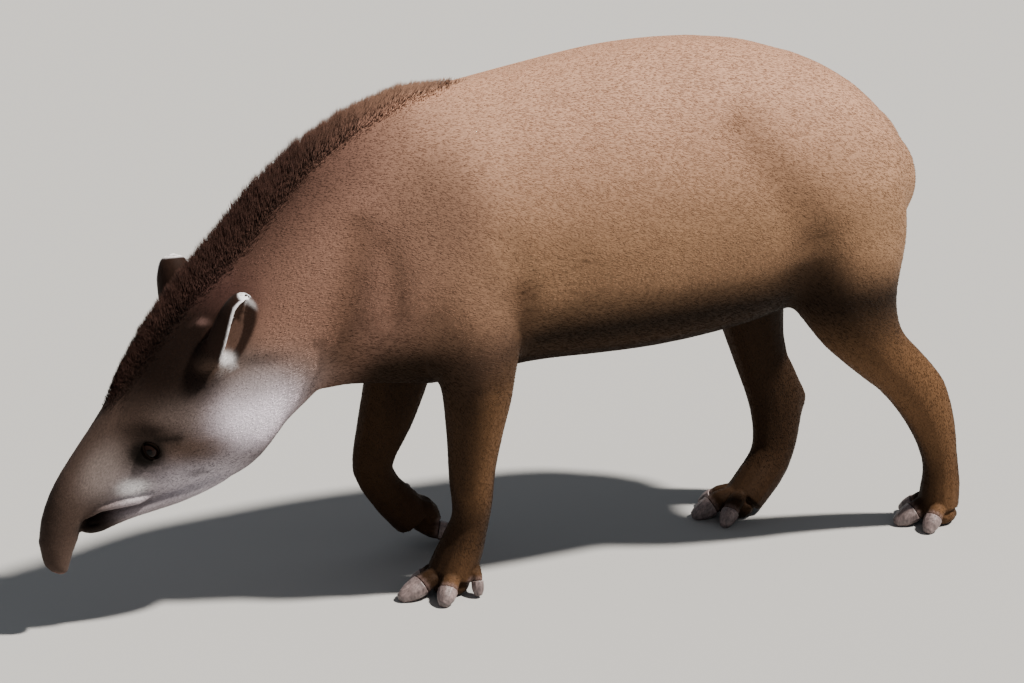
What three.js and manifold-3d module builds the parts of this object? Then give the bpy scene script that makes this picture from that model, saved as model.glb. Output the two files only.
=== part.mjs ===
// A South American tapir, life size, walking slowly with its head down to graze.
// Millimetres. -X is where the animal faces, +Y is its right side, +Z is up and the floor is z = 0.
// The origin is on the floor, under the middle of the whole animal.
import * as THREE from "three";
import { mergeVertices } from "three/addons/utils/BufferGeometryUtils.js";
import Module from "manifold-3d";

const wasm = await Module();
wasm.setup();

// Driving dimensions
const GAP = 0.3; // between touching pieces
const BODY_SIDES = 30;
const LIMB_SIDES = 14;
const TORSO_PITCH = 78; // spacing of the cross-sections
const HEAD_PITCH = 26;
const EYE_RADIUS = 16.5;
const LID_THICKNESS = 3.6;
const EAR_LENGTH = 138;
const MANE_HEIGHT = 46;
const MANE_LOCKS = 22; // in each of two rows
const LOCK_HALF_WIDTH = 16;
const LOCK_HALF_THICKNESS = 6.5;
const LOCK_ROOT_OUT = 6; // from the middle plane
const HOOF_RIM = 1.6; // how far a hoof stands out from its toe
const TAIL_LENGTH = 88;
const FLOOR = 0;

const COLOURS = {
  coat: [0x6b4a38, 0.75],
  hoof: [0x6f6266, 0.45],
  eye: [0x120b08, 0.12],
};

// Cross-sections of the trunk: the top and the low point in the animal's middle plane [x, z], the half width,
// how far up the widest place lies (0 to 1), and how much it narrows towards the top and towards the bottom.
const section = (top, low, half, waist, ridge, keel) => [...top, ...low, half, waist, ridge, keel];
const TRUNK = [
  section([770, 770], [762, 606], 104, 0.5, 0.0, 0.0), // seat
  section([722, 837], [714, 540], 148, 0.5, 0.0, 0.0),
  section([660, 892], [648, 504], 178, 0.5, 0.0, 0.0), // rump
  section([580, 936], [570, 464], 203, 0.5, 0.0, 0.0), // hip
  section([466, 975], [458, 434], 210, 0.47, 0.0, 0.0), // croup
  section([330, 995], [330, 418], 216, 0.45, 0.0, 0.0), // loin
  section([182, 994], [190, 411], 218, 0.44, 0.0, 0.0), // barrel
  section([36, 975], [44, 414], 208, 0.44, 0.02, 0.0), // ribs
  section([-98, 955], [-72, 402], 196, 0.44, 0.08, 0.05), // girth
  section([-215, 938], [-172, 390], 182, 0.42, 0.2, 0.1), // withers
  section([-316, 900], [-262, 402], 162, 0.4, 0.34, 0.12), // neck base
  section([-402, 852], [-330, 408], 138, 0.4, 0.44, 0.1), // neck
  section([-482, 786], [-386, 403], 121, 0.4, 0.48, 0.1), // upper neck
  section([-556, 708], [-440, 358], 110, 0.4, 0.46, 0.1), // nape
  section([-624, 636], [-504, 286], 102, 0.42, 0.36, 0.12), // poll
  section([-694, 556], [-572, 252], 91, 0.47, 0.26, 0.14), // brow
  section([-744, 484], [-640, 238], 78, 0.48, 0.16, 0.16), // eye
  section([-785, 412], [-702, 238], 63, 0.46, 0.1, 0.14), // nose
  section([-824, 358], [-756, 240], 54, 0.44, 0.1, 0.08), // muzzle
  section([-858, 310], [-802, 236], 46, 0.45, 0.08, 0.0), // upper lip
  section([-884, 266], [-826, 212], 39, 0.46, 0.05, 0.0), // root of the proboscis
  section([-901, 220], [-835, 180], 33, 0.47, 0.0, 0.0),
  section([-907, 180], [-846, 154], 29, 0.48, 0.0, 0.0),
  section([-901, 146], [-853, 130], 25, 0.5, 0.0, 0.0), // its tip
];
const HEAD_FROM = 13; // the first section spaced as the head is
const RUMP_END = [796, 688];
const SNOUT_END = [-876, 117];
const MANE_FROM = 16; // places along the trunk's sections
const MANE_TO = 8.8;

const JAW = [
  section([-540, 350], [-520, 286], 40, 0.5, 0.0, 0.1), // inside the cheek
  section([-590, 310], [-562, 258], 54, 0.5, 0.0, 0.1),
  section([-650, 280], [-640, 230], 53, 0.5, 0.0, 0.1),
  section([-705, 260], [-700, 217], 47, 0.5, 0.0, 0.1),
  section([-755, 240], [-748, 206], 39, 0.5, 0.0, 0.1),
  section([-800, 223], [-792, 189], 30, 0.5, 0.0, 0.1), // lower lip
];
const JAW_START = [-510, 330];
const CHIN_END = [-833, 197];
const MOUTH_CORNER = [[-752, 320], [-746, 180]];
const MOUTH_GAP = 4;
// Lines down the middle plane that part the neck from the torso and the head from the neck
const NECK_LINE = [[-335, 960], [-290, 340]];
const HEAD_LINE = [[-604, 720], [-440, 320]];

// Limb cross-sections: the centre [x, y, z], then the half sizes to the front, to the rear and to each side.
const joint = (centre, front, rear, side) => [...centre, front, rear, side];
const FORELEG_LEFT = [
  joint([-150, -112, 640], 108, 104, 82),
  joint([-124, -128, 530], 104, 92, 68),
  joint([-112, -124, 430], 80, 72, 58), // elbow
  joint([-113, -111, 350], 61, 58, 51),
  joint([-114, -99, 280], 51, 48, 44),
  joint([-114, -90, 225], 45, 43, 41),
  joint([-111, -84, 185], 41, 39, 41), // carpus
  joint([-113, -77, 140], 37, 37, 36),
  joint([-127, -72, 92], 42, 42, 40), // fetlock
  joint([-148, -71, 36], 46, 46, 47),
];
const FORELEG_RIGHT = [
  joint([-160, 112, 640], 106, 104, 82),
  joint([-154, 132, 530], 102, 92, 68),
  joint([-160, 138, 425], 80, 72, 58), // elbow
  joint([-177, 142, 342], 65, 60, 52),
  joint([-197, 145, 272], 56, 53, 46),
  joint([-215, 147, 218], 46, 43, 41),
  joint([-221, 149, 176], 42, 38, 40), // carpus, bent
  joint([-203, 150, 134], 38, 37, 37),
  joint([-172, 151, 97], 40, 39, 39), // fetlock
  joint([-143, 152, 67], 42, 38, 43),
];
const HINDLEG_LEFT = [
  joint([600, -100, 730], 138, 136, 96),
  joint([604, -112, 610], 126, 140, 99),
  joint([622, -122, 496], 102, 112, 82), // stifle
  joint([676, -124, 400], 66, 68, 60),
  joint([738, -118, 336], 55, 56, 48),
  joint([788, -111, 274], 52, 60, 43), // hock
  joint([824, -104, 206], 45, 46, 39),
  joint([844, -97, 140], 36, 37, 35),
  joint([852, -92, 88], 37, 38, 38), // fetlock
  joint([852, -87, 38], 41, 39, 43),
];
const HINDLEG_RIGHT = [
  joint([592, 100, 730], 140, 122, 96),
  joint([562, 112, 610], 122, 130, 99),
  joint([534, 122, 480], 94, 92, 80), // stifle
  joint([546, 124, 376], 62, 64, 59),
  joint([568, 121, 292], 53, 54, 48),
  joint([594, 117, 226], 57, 60, 43), // hock
  joint([598, 113, 168], 52, 50, 39),
  joint([588, 109, 114], 44, 45, 36),
  joint([562, 102, 72], 43, 43, 39), // fetlock
  joint([520, 92, 30], 40, 40, 42),
];

const LEGS = {
  left: { foreleg: FORELEG_LEFT, hindleg: HINDLEG_LEFT, side: -1 },
  right: { foreleg: FORELEG_RIGHT, hindleg: HINDLEG_RIGHT, side: 1 },
};
// Where each leg is parted from the trunk: the heights of a slanting cut at the middle plane and 200 mm out,
// and the two lines, [x, z] to [x, z], that the leg lies between.
const LEG_CUTS = {
  foreleg_left: { inner: 372, outer: 500, front: [[-300, 800], [-300, 0]], rear: [[180, 800], [180, 0]] },
  foreleg_right: { inner: 372, outer: 500, front: [[-300, 800], [-300, 0]], rear: [[180, 800], [180, 0]] },
  hindleg_left: { inner: 432, outer: 668, front: [[528, 720], [470, 380]], rear: [[1000, 800], [1000, 0]] },
  hindleg_right: { inner: 432, outer: 668, front: [[478, 720], [420, 360]], rear: [[1000, 800], [1000, 0]] },
};
// Places along a leg's sections where its foot is parted from it
const WRIST = 6.25;
const ANKLE = 5.6;

// Feet: where the middle of the foot stands, which way it points and which way its back faces.
const FEET = {
  forefoot_left: { at: [-152, -71, 0], ahead: [-1, -0.14, 0], up: [0, 0, 1], side: -1 },
  forefoot_right: { at: [-106, 153, 86], ahead: [0.67, 0.04, -0.742], up: [-0.742, 0, -0.67], side: 1 },
  hindfoot_left: { at: [852, -86, 0], ahead: [-1, 0.06, 0], up: [0, 0, 1], side: -1 },
  hindfoot_right: { at: [502, 88, 0], ahead: [-1, 0.04, 0], up: [0, 0, 1], side: 1 },
};
// Toes: the digit, how far it splays outward (degrees), how far out and back it starts, how far it reaches
// and its half width and half height.
const FORE_TOES = [
  { digit: 2, splay: -32, root: -15, back: 0, reach: 66, half: 17, high: 15 },
  { digit: 3, splay: 0, root: 0, back: 0, reach: 103, half: 22, high: 17 },
  { digit: 4, splay: 44, root: 19, back: 0, reach: 68, half: 17, high: 15 },
  { digit: 5, splay: 80, root: 30, back: 38, reach: 42, half: 10, high: 11 },
];
const HIND_TOES = [
  { digit: 2, splay: -42, root: -18, back: 0, reach: 68, half: 16, high: 15 },
  { digit: 3, splay: 0, root: 0, back: 0, reach: 88, half: 22, high: 17 },
  { digit: 4, splay: 42, root: 18, back: 0, reach: 66, half: 16, high: 15 },
];
const PAD = { length: 38, width: 41, height: 25 };
const CORONET = 0.5; // where the hoof begins, along the toe's reach

const EYE = { x: -714, z: 353, y: 60, opening: [15.5, 9.5], tilt: 50 };
const EARS = {
  left: { at: [-603, -76, 514], along: [0.46, -0.3, 0.84], facing: [0.78, -0.62, 0] },
  right: { at: [-614, 72, 518], along: [0.02, 0.3, 0.95], facing: [0.2, 0.95, -0.2] },
};
// Hard knobs on the legs: the centre [x, y, z] and the half sizes
const KNOBS = [
  [[822, -111, 284], [21, 18, 34]], // point of the left hock
  [[644, 117, 212], [20, 18, 34]], // and of the right
  [[-64, -121, 396], [18, 19, 28]], // left elbow
  [[-108, 138, 394], [18, 19, 28]], // right elbow
];
const NOSTRIL = { x: -882, z: 124, y: 11, size: [6, 5, 10] };
const TAIL_ROOT = [728, 812];

// Any random size is drawn from here, the same on every run.
let seed = 20;
function chance(low, high) {
  seed = (seed * 1103515245 + 12345) % 2147483648;
  return low + ((high - low) * seed) / 2147483648;
}

const vector = (p) => new THREE.Vector3(...p);

// The values between the listed ones, on one smooth curve.
function between(list, place) {
  const span = Math.min(Math.floor(place), list.length - 2);
  const u = place - span;
  const at = (i) => list[THREE.MathUtils.clamp(i, 0, list.length - 1)];
  const [p, q, r, s] = [at(span - 1), at(span), at(span + 1), at(span + 2)];
  return q.map((value, k) => {
    const before = (r[k] - p[k]) / 2;
    const after = (s[k] - value) / 2;
    const bend = 2 * (value - r[k]) + before + after;
    return value + u * (before + u * (3 * (r[k] - value) - 2 * before - after + u * bend));
  });
}

// A closed skin over rings of points that all have one length; each end runs to its own point.
function loft(rings, start, end) {
  const sides = rings[0].length;
  const points = [start, ...rings.flat(), end];
  const faces = [];
  for (let i = 0; i < sides; i++) {
    const j = (i + 1) % sides;
    faces.push(0, 1 + j, 1 + i);
    for (let k = 0; k + 1 < rings.length; k++) {
      const [a, b] = [1 + k * sides, 1 + (k + 1) * sides];
      faces.push(a + i, a + j, b + j, a + i, b + j, b + i);
    }
    const last = 1 + (rings.length - 1) * sides;
    faces.push(last + i, last + j, points.length - 1);
  }
  const geometry = new THREE.BufferGeometry().setFromPoints(points);
  geometry.setIndex(faces);
  return geometry;
}

// A closed solid that can be joined and cut, with its faces turned outward.
function solid(geometry) {
  const bare = geometry.clone();
  bare.deleteAttribute("normal");
  bare.deleteAttribute("uv");
  const merged = mergeVertices(bare, 1e-4);
  const triVerts = new Uint32Array(merged.index.array);
  const build = () =>
    new wasm.Manifold(
      new wasm.Mesh({ numProp: 3, vertProperties: merged.attributes.position.array, triVerts })
    );
  const made = build();
  if (made.volume() >= 0) return made;
  for (let i = 0; i < triVerts.length; i += 3) {
    [triVerts[i + 1], triVerts[i + 2]] = [triVerts[i + 2], triVerts[i + 1]];
  }
  return build();
}

// One ring of the trunk.
function trunkRing(values, grow) {
  const [topX, topZ, lowX, lowZ, half, waist, ridge, keel] = values;
  const top = new THREE.Vector3(topX, 0, topZ);
  const low = new THREE.Vector3(lowX, 0, lowZ);
  const middle = low.clone().lerp(top, waist);
  const upright = top.clone().sub(low).normalize();
  const rise = top.distanceTo(middle) + grow;
  const drop = low.distanceTo(middle) + grow;
  const ring = [];
  for (let i = 0; i < BODY_SIDES; i++) {
    const angle = (2 * Math.PI * i) / BODY_SIDES;
    const [out, up] = [Math.cos(angle), Math.sin(angle)];
    const narrowing = up > 0 ? ridge * up * up : keel * up * up;
    const point = middle.clone().addScaledVector(upright, up * (up > 0 ? rise : drop));
    point.y = out * (half * (1 - narrowing) + grow);
    ring.push(point);
  }
  return ring;
}

// Rings that round off an end, drawn in towards a point in the middle plane.
function roundEnd(ring, end, count) {
  const middle = ring.reduce((sum, p) => sum.add(p), new THREE.Vector3()).divideScalar(ring.length);
  return Array.from({ length: count }, (_, k) => {
    const turn = ((k + 1) / (count + 1)) * (Math.PI / 2);
    const centre = middle.clone().lerp(end, Math.sin(turn));
    return ring.map((p) => centre.clone().addScaledVector(p.clone().sub(middle), Math.cos(turn)));
  });
}

function trunkSolid(sections, startPoint, endPoint, pitchOf, ends, grow = 0) {
  const rings = [];
  for (let i = 0; i + 1 < sections.length; i++) {
    const [a, b] = [sections[i], sections[i + 1]];
    const length = Math.hypot(a[0] + a[2] - b[0] - b[2], a[1] + a[3] - b[1] - b[3]) / 2;
    const steps = Math.max(1, Math.round(length / pitchOf(i)));
    for (let k = 0; k < steps; k++) rings.push(trunkRing(between(sections, i + k / steps), grow));
  }
  rings.push(trunkRing(sections.at(-1), grow));
  const start = new THREE.Vector3(startPoint[0], 0, startPoint[1]);
  const end = new THREE.Vector3(endPoint[0], 0, endPoint[1]);
  const before = ends[0] ? roundEnd(rings[0], start, ends[0]).reverse() : [];
  const after = ends[1] ? roundEnd(rings.at(-1), end, ends[1]) : [];
  return solid(loft([...before, ...rings, ...after], start, end));
}

// A limb, toe, hoof or lip: rings square to a smooth line, with the half sizes of each section.
function limbSolid(sections, steps, sides, options = {}) {
  const { grow = 0, across = new THREE.Vector3(0, 1, 0), from = 0, blunt = 0.3 } = options;
  const to = options.to ?? sections.length - 1;
  const count = Math.ceil((to - from) * steps);
  const rings = [];
  for (let k = 0; k <= count; k++) {
    const place = from + ((to - from) * k) / count;
    const values = between(sections, place);
    const step = 0.05;
    const ahead = vector(between(sections, Math.min(place + step, sections.length - 1)));
    const along = ahead.sub(vector(between(sections, Math.max(place - step, 0)))).normalize();
    const forward = across.clone().cross(along).normalize();
    const sideways = along.clone().cross(forward);
    const centre = vector(values);
    if (k === 0) centre.addScaledVector(along, -grow);
    if (k === count) centre.addScaledVector(along, grow);
    const [front, rear, side] = values.slice(3).map((half) => Math.max(half, 0.6) + grow);
    rings.push(
      Array.from({ length: sides }, (_, i) => {
        const angle = (2 * Math.PI * i) / sides;
        const fore = Math.cos(angle);
        return centre
          .clone()
          .addScaledVector(forward, fore * (fore > 0 ? front : rear))
          .addScaledVector(sideways, Math.sin(angle) * side);
      })
    );
  }
  const middle = (ring) => ring.reduce((sum, p) => sum.add(p), new THREE.Vector3()).divideScalar(sides);
  const start = middle(rings[0]);
  const end = middle(rings.at(-1));
  const tip = end.clone().sub(middle(rings.at(-2))).multiplyScalar(blunt);
  return solid(loft(rings, start, end.clone().add(tip)));
}

// The whole space on one side of a plane, as a very large block.
function halfSpace(point, normal) {
  const size = 6000;
  const block = new THREE.BoxGeometry(size, size, size).translate(0, 0, size / 2);
  const turn = new THREE.Quaternion().setFromUnitVectors(new THREE.Vector3(0, 0, 1), normal);
  block.applyQuaternion(turn).translate(point.x, point.y, point.z);
  return solid(block);
}

// The space on one side of a line drawn in the middle plane from its top to its bottom.
function besideLine(line, way, gap) {
  const [top, low] = line.map(([x, z]) => new THREE.Vector3(x, 0, z));
  const down = low.clone().sub(top).normalize();
  const normal = new THREE.Vector3(way * down.z, 0, -way * down.x);
  return halfSpace(top.addScaledVector(normal, gap), normal);
}

const aheadOf = (line, gap = 0) => besideLine(line, 1, gap);
const behind = (line, gap = 0) => besideLine(line, -1, gap);

const join = (solids) => solids.reduce((sum, one) => sum.add(one));

// The largest closed surface of a solid.
function largest(made) {
  return made.decompose().reduce((best, one) => (one.volume() > best.volume() ? one : best));
}

const aboveFloor = halfSpace(new THREE.Vector3(0, 0, FLOOR), new THREE.Vector3(0, 0, 1));

// A foot's own frame: x ahead along the middle toe, y outward from the animal, z up from the sole.
function footFrame({ at, ahead, up, side }) {
  const x = vector(ahead).normalize();
  const z = vector(up).addScaledVector(x, -vector(up).dot(x)).normalize();
  const y = z.clone().cross(x);
  if (Math.sign(y.y) !== side) y.negate();
  return new THREE.Matrix4().makeBasis(x, y, z).setPosition(...at);
}

// A toe's line and sizes in the foot's frame, then in the animal's.
function toeSections(toe, frame) {
  const turn = THREE.MathUtils.degToRad(toe.splay);
  const short = toe.digit === 5;
  const profile = short
    ? [[-0.5, 52, 1.0], [0.3, 42, 1.1], [0.62, 28, 1.0], [0.84, 15, 0.95], [1, 5, 0.5]]
    : [[-0.1, 44, 0.9], [0.3, 37, 1.06], [0.58, 24, 1.04], [0.82, 13, 0.88], [1, 6, 0.44]];
  return profile.map(([along, height, scale]) => {
    const distance = along * toe.reach;
    const spot = new THREE.Vector3(
      distance * Math.cos(turn) - toe.back,
      toe.root + distance * Math.sin(turn) * (short ? 0.62 : 1),
      height
    ).applyMatrix4(frame);
    return [...spot.toArray(), toe.high * scale, toe.high * scale, toe.half * scale];
  });
}

// The side-to-side direction of a toe, square to its line.
function toeAcross(toe, frame) {
  const turn = THREE.MathUtils.degToRad(toe.splay);
  return new THREE.Vector3(-Math.sin(turn), Math.cos(turn), 0).transformDirection(frame);
}

function footSolids(place, toes) {
  const frame = footFrame(place);
  const pad = new THREE.SphereGeometry(1, 10, 6)
    .scale(PAD.length, PAD.width, PAD.height)
    .translate(0, 0, PAD.height * 0.72)
    .applyMatrix4(frame);
  const flesh = [solid(pad)];
  const hooves = {};
  const room = [];
  for (const toe of toes) {
    const sections = toeSections(toe, frame);
    const across = toeAcross(toe, frame);
    const last = sections.length - 1;
    const coronet = last * (toe.digit === 5 ? 0.48 : CORONET);
    flesh.push(limbSolid(sections, 1.5, 10, { across, to: last - 0.8 }));
    const widen = (value, i) => (i < 3 ? value : value + HOOF_RIM);
    const hoof = sections.map((values) => values.map(widen));
    const shape = { across, from: coronet, blunt: 0.5 };
    const made = limbSolid(hoof, 2, 10, shape).intersect(aboveFloor);
    hooves[toe.digit] = room.length ? made.subtract(join(room)) : made;
    room.push(limbSolid(hoof, 2, 10, { ...shape, grow: GAP }));
  }
  return { flesh: join(flesh), hooves, room: join(room) };
}

// The space a leg has: on its own side, outside and below a slanting plane, and between two lines.
function legSpace(cut, side, gap) {
  const normal = new THREE.Vector3(0, side * (cut.outer - cut.inner), -200).normalize();
  const middle = new THREE.Vector3(0, 0, cut.inner).addScaledVector(normal, gap);
  const own = halfSpace(new THREE.Vector3(0, side * gap, 0), new THREE.Vector3(0, side, 0));
  const bounds = behind(cut.front, gap).intersect(aheadOf(cut.rear, gap));
  return halfSpace(middle, normal).intersect(own).intersect(bounds);
}

// The plane square to a limb at a place along its sections; the foot lies on its far side.
function footSpace(sections, place, gap) {
  const here = vector(between(sections, place));
  const [before, after] = [place - 0.1, place + 0.1].map((spot) => vector(between(sections, spot)));
  const along = after.sub(before).normalize();
  return halfSpace(here.addScaledVector(along, gap), along);
}

// An ear: a leaf rolled into a cup, open to one side, on a plump root.
function earSolid({ at, along, facing }) {
  const up = vector(along).normalize();
  const open = vector(facing).addScaledVector(up, -vector(facing).dot(up)).normalize();
  const across = up.clone().cross(open);
  const base = vector(at);
  const [levels, cells] = [8, 8];
  const outer = [];
  const inner = [];
  for (let k = 0; k <= levels; k++) {
    const t = k / levels;
    const radius = 5 + 28 * Math.sin(Math.PI * (0.2 + 0.79 * t) ** 1.15) ** 0.62;
    const spread = THREE.MathUtils.degToRad(THREE.MathUtils.lerp(140, 78, Math.min(1, t * 1.5)));
    const wall = THREE.MathUtils.lerp(8, 3.2, t);
    const height = EAR_LENGTH * Math.sin((t * Math.PI) / 2) ** 1.04;
    const bow = -9 * Math.sin(Math.PI * t * 0.8);
    for (const [list, r] of [[outer, radius], [inner, radius - wall]]) {
      list.push(
        Array.from({ length: cells + 1 }, (_, i) => {
          const angle = THREE.MathUtils.lerp(-spread, spread, i / cells);
          return base
            .clone()
            .addScaledVector(up, height + 4 * Math.cos(angle) * t)
            .addScaledVector(across, r * Math.sin(angle))
            .addScaledVector(open, bow - r * Math.cos(angle) + 8);
        })
      );
    }
  }
  const rings = outer.map((row, k) => [...row, ...inner[k].slice().reverse()]);
  const sides = rings[0].length;
  const points = rings.flat();
  const faces = [];
  for (let k = 0; k < levels; k++) {
    for (let i = 0; i < sides; i++) {
      const j = (i + 1) % sides;
      const [a, b] = [k * sides, (k + 1) * sides];
      faces.push(a + i, a + j, b + j, a + i, b + j, b + i);
    }
  }
  for (let i = 0; i < cells; i++) {
    const [a, b, c, d] = [i, i + 1, sides - 2 - i, sides - 1 - i];
    faces.push(a, d, c, a, c, b);
    const top = levels * sides;
    faces.push(top + a, top + b, top + c, top + a, top + c, top + d);
  }
  const geometry = new THREE.BufferGeometry().setFromPoints(points);
  geometry.setIndex(faces);
  const root = new THREE.SphereGeometry(1, 12, 7).scale(25, 25, 40);
  root.applyQuaternion(new THREE.Quaternion().setFromUnitVectors(new THREE.Vector3(0, 0, 1), up));
  const seat = base.clone().addScaledVector(up, 6).addScaledVector(open, -6);
  root.translate(seat.x, seat.y, seat.z);
  return solid(geometry).add(solid(root));
}

// One flat, tapered lock that bends back as it rises.
function lockSolid(root, rise, back, side, length) {
  const shape = [
    [-0.32, 0.8, 1.0, 0],
    [0.3, 1.0, 0.8, 0.05],
    [0.7, 0.72, 0.5, 0.2],
  ];
  const spot = (along, bend) =>
    root
      .clone()
      .addScaledVector(rise, along * length)
      .addScaledVector(back, bend * length);
  const rings = shape.map(([along, wide, deep, bend]) =>
    [[1, 0], [0, 1], [-1, 0], [0, -1]].map(([u, v]) =>
      spot(along, bend)
        .addScaledVector(back, u * wide * LOCK_HALF_WIDTH)
        .addScaledVector(side, v * deep * LOCK_HALF_THICKNESS)
    )
  );
  return solid(loft(rings, spot(-0.34, 0), spot(1.0, 0.42)));
}

// The mane: two rows of locks along the crest, from the brow to the withers, longest on the nape.
function maneLocks() {
  const locks = [];
  for (let i = 0; i < MANE_LOCKS; i++) {
    for (const row of [-1, 1]) {
      const share = (i + (row > 0 ? 0.5 : 0)) / MANE_LOCKS;
      const place = THREE.MathUtils.lerp(MANE_FROM, MANE_TO, share);
      const here = between(TRUNK, place);
      const next = between(TRUNK, place - 0.2);
      const back = new THREE.Vector3(next[0] - here[0], 0, next[1] - here[1]).normalize();
      const out = new THREE.Vector3(-back.z, 0, back.x);
      const swell = Math.min(0.9, 0.44 + share * 1.1) * Math.min(1, 1 - (share - 0.72) * 2);
      const lean = chance(0.45, 0.7);
      const rise = out.clone().addScaledVector(back, lean);
      rise.addScaledVector(new THREE.Vector3(0, 1, 0), row * chance(0.1, 0.26)).normalize();
      const root = new THREE.Vector3(here[0], row * LOCK_ROOT_OUT, here[1]).addScaledVector(out, -4);
      const length = MANE_HEIGHT * swell * chance(0.85, 1.12);
      locks.push(lockSolid(root, rise, back, new THREE.Vector3(0, 1, 0), length));
    }
  }
  return locks;
}

// An eye's ball, the hollow it sits in, the raised lids round it and the almond gap between them.
function eyeSolids(side) {
  const centre = new THREE.Vector3(EYE.x, side * EYE.y, EYE.z);
  const ball = (radius) =>
    solid(new THREE.SphereGeometry(radius, 14, 9).translate(centre.x, centre.y, centre.z));
  const [long, high] = EYE.opening;
  const gap = new THREE.CylinderGeometry(1, 0.85, 40, 16).scale(long, 1, high);
  gap.rotateY(THREE.MathUtils.degToRad(EYE.tilt)).translate(centre.x, centre.y + side * 24, centre.z);
  return {
    ball: ball(EYE_RADIUS),
    hollow: ball(EYE_RADIUS + GAP),
    lids: ball(EYE_RADIUS + LID_THICKNESS),
    gap: solid(gap),
  };
}

function nostril(side) {
  const hole = new THREE.SphereGeometry(1, 10, 6).scale(...NOSTRIL.size);
  return solid(hole.rotateY(0.35).translate(NOSTRIL.x, side * NOSTRIL.y, NOSTRIL.z));
}

// The rolled edge of the upper lip, from the corner of the mouth to under the proboscis.
function upperLip(side, grow) {
  const line = [
    [-694, 42, 266, 5],
    [-734, 47, 254, 8],
    [-768, 43, 250, 8],
    [-800, 36, 244, 7],
    [-828, 24, 226, 5],
  ];
  return limbSolid(
    line.map(([x, y, z, r]) => [x, side * y, z, r, r, r]),
    1,
    8,
    { grow }
  );
}

const material = (name) => {
  const [color, roughness] = COLOURS[name];
  return new THREE.MeshStandardMaterial({ color, roughness, metalness: 0 });
};
const MATERIALS = Object.fromEntries(Object.keys(COLOURS).map((name) => [name, material(name)]));
const tapir = new THREE.Group();

function addNode(name, made, look) {
  const { vertProperties, triVerts, numProp, numVert } = largest(made).getMesh();
  const positions = new Float32Array(numVert * 3);
  for (let i = 0; i < numVert; i++) {
    positions.set(vertProperties.subarray(i * numProp, i * numProp + 3), i * 3);
  }
  const geometry = new THREE.BufferGeometry();
  geometry.setAttribute("position", new THREE.BufferAttribute(positions, 3));
  geometry.setIndex(new THREE.BufferAttribute(triVerts, 1));
  geometry.computeVertexNormals();
  const mesh = new THREE.Mesh(geometry, MATERIALS[look]);
  mesh.name = name;
  tapir.add(mesh);
}

// Trunk, head and jaw
const trunkPitch = (i) => (i < HEAD_FROM ? TORSO_PITCH : HEAD_PITCH);
const trunkGrown = (grow) => trunkSolid(TRUNK, RUMP_END, SNOUT_END, trunkPitch, [2, 2], grow);
const trunk = trunkGrown(0);
const trunkRoom = trunkGrown(GAP);
const lips = join([upperLip(-1, 0), upperLip(1, 0)]);
const jawWhole = trunkSolid(JAW, JAW_START, CHIN_END, () => HEAD_PITCH, [0, 3]);
const mouthRoom = join([
  trunkGrown(MOUTH_GAP),
  upperLip(-1, MOUTH_GAP),
  upperLip(1, MOUTH_GAP),
]).intersect(aheadOf(MOUTH_CORNER));
const jaw = jawWhole.subtract(mouthRoom);

// Legs with their feet
const feet = {};
const legParts = [];
for (const { foreleg, hindleg, side } of Object.values(LEGS)) {
  const word = side < 0 ? "left" : "right";
  for (const [kind, sections, toes] of [
    ["fore", foreleg, FORE_TOES],
    ["hind", hindleg, HIND_TOES],
  ]) {
    const foot = footSolids(FEET[`${kind}foot_${word}`], toes);
    const whole = limbSolid(sections, 2, LIMB_SIDES).add(foot.flesh).intersect(aboveFloor);
    const fleshy = whole.subtract(foot.room);
    feet[`${kind}foot_${word}`] = foot;
    legParts.push({ kind, word, side, sections, fleshy });
  }
}

const knobs = KNOBS.map(([at, size]) =>
  solid(new THREE.SphereGeometry(1, 10, 6).scale(...size).translate(...at))
);
let torso = trunk.add(join([...legParts.map((leg) => leg.fleshy), ...knobs]));
const whole = torso;
for (const { kind, word, side, sections } of legParts) {
  const cut = LEG_CUTS[`${kind}leg_${word}`];
  const leg = largest(whole.intersect(legSpace(cut, side, GAP / 2)));
  torso = torso.subtract(legSpace(cut, side, -GAP / 2));
  const joinPlace = kind === "fore" ? WRIST : ANKLE;
  const foot = leg.intersect(footSpace(sections, joinPlace, GAP / 2));
  addNode(`${kind}leg_${word}`, leg.subtract(footSpace(sections, joinPlace, -GAP / 2)), "coat");
  addNode(`${kind}foot_${word}`, foot, "coat");
  for (const [digit, hoof] of Object.entries(feet[`${kind}foot_${word}`].hooves)) {
    addNode(`hoof_${kind}_${word}_${digit}`, hoof, "hoof");
  }
}

// Torso, neck and head, parted by two planes
const eyes = { left: eyeSolids(-1), right: eyeSolids(1) };
const mane = join(maneLocks());
addNode("torso", torso.add(mane).subtract(aheadOf(NECK_LINE, -GAP / 2)), "coat");
const front = trunk.add(mane).intersect(aheadOf(NECK_LINE, GAP / 2));
addNode("neck", front.subtract(aheadOf(HEAD_LINE, -GAP / 2)), "coat");
let head = front.intersect(aheadOf(HEAD_LINE, GAP / 2)).add(lips).add(jaw);
for (const [word, eye] of Object.entries(eyes)) {
  head = head.add(eye.lids).subtract(eye.hollow).subtract(eye.gap);
  addNode(`eye_${word}`, eye.ball, "eye");
}
head = head.subtract(nostril(-1)).subtract(nostril(1));
addNode("head", head, "coat");

for (const [word, place] of Object.entries(EARS)) {
  addNode(`ear_${word}`, earSolid(place).subtract(trunkRoom), "coat");
}

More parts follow.
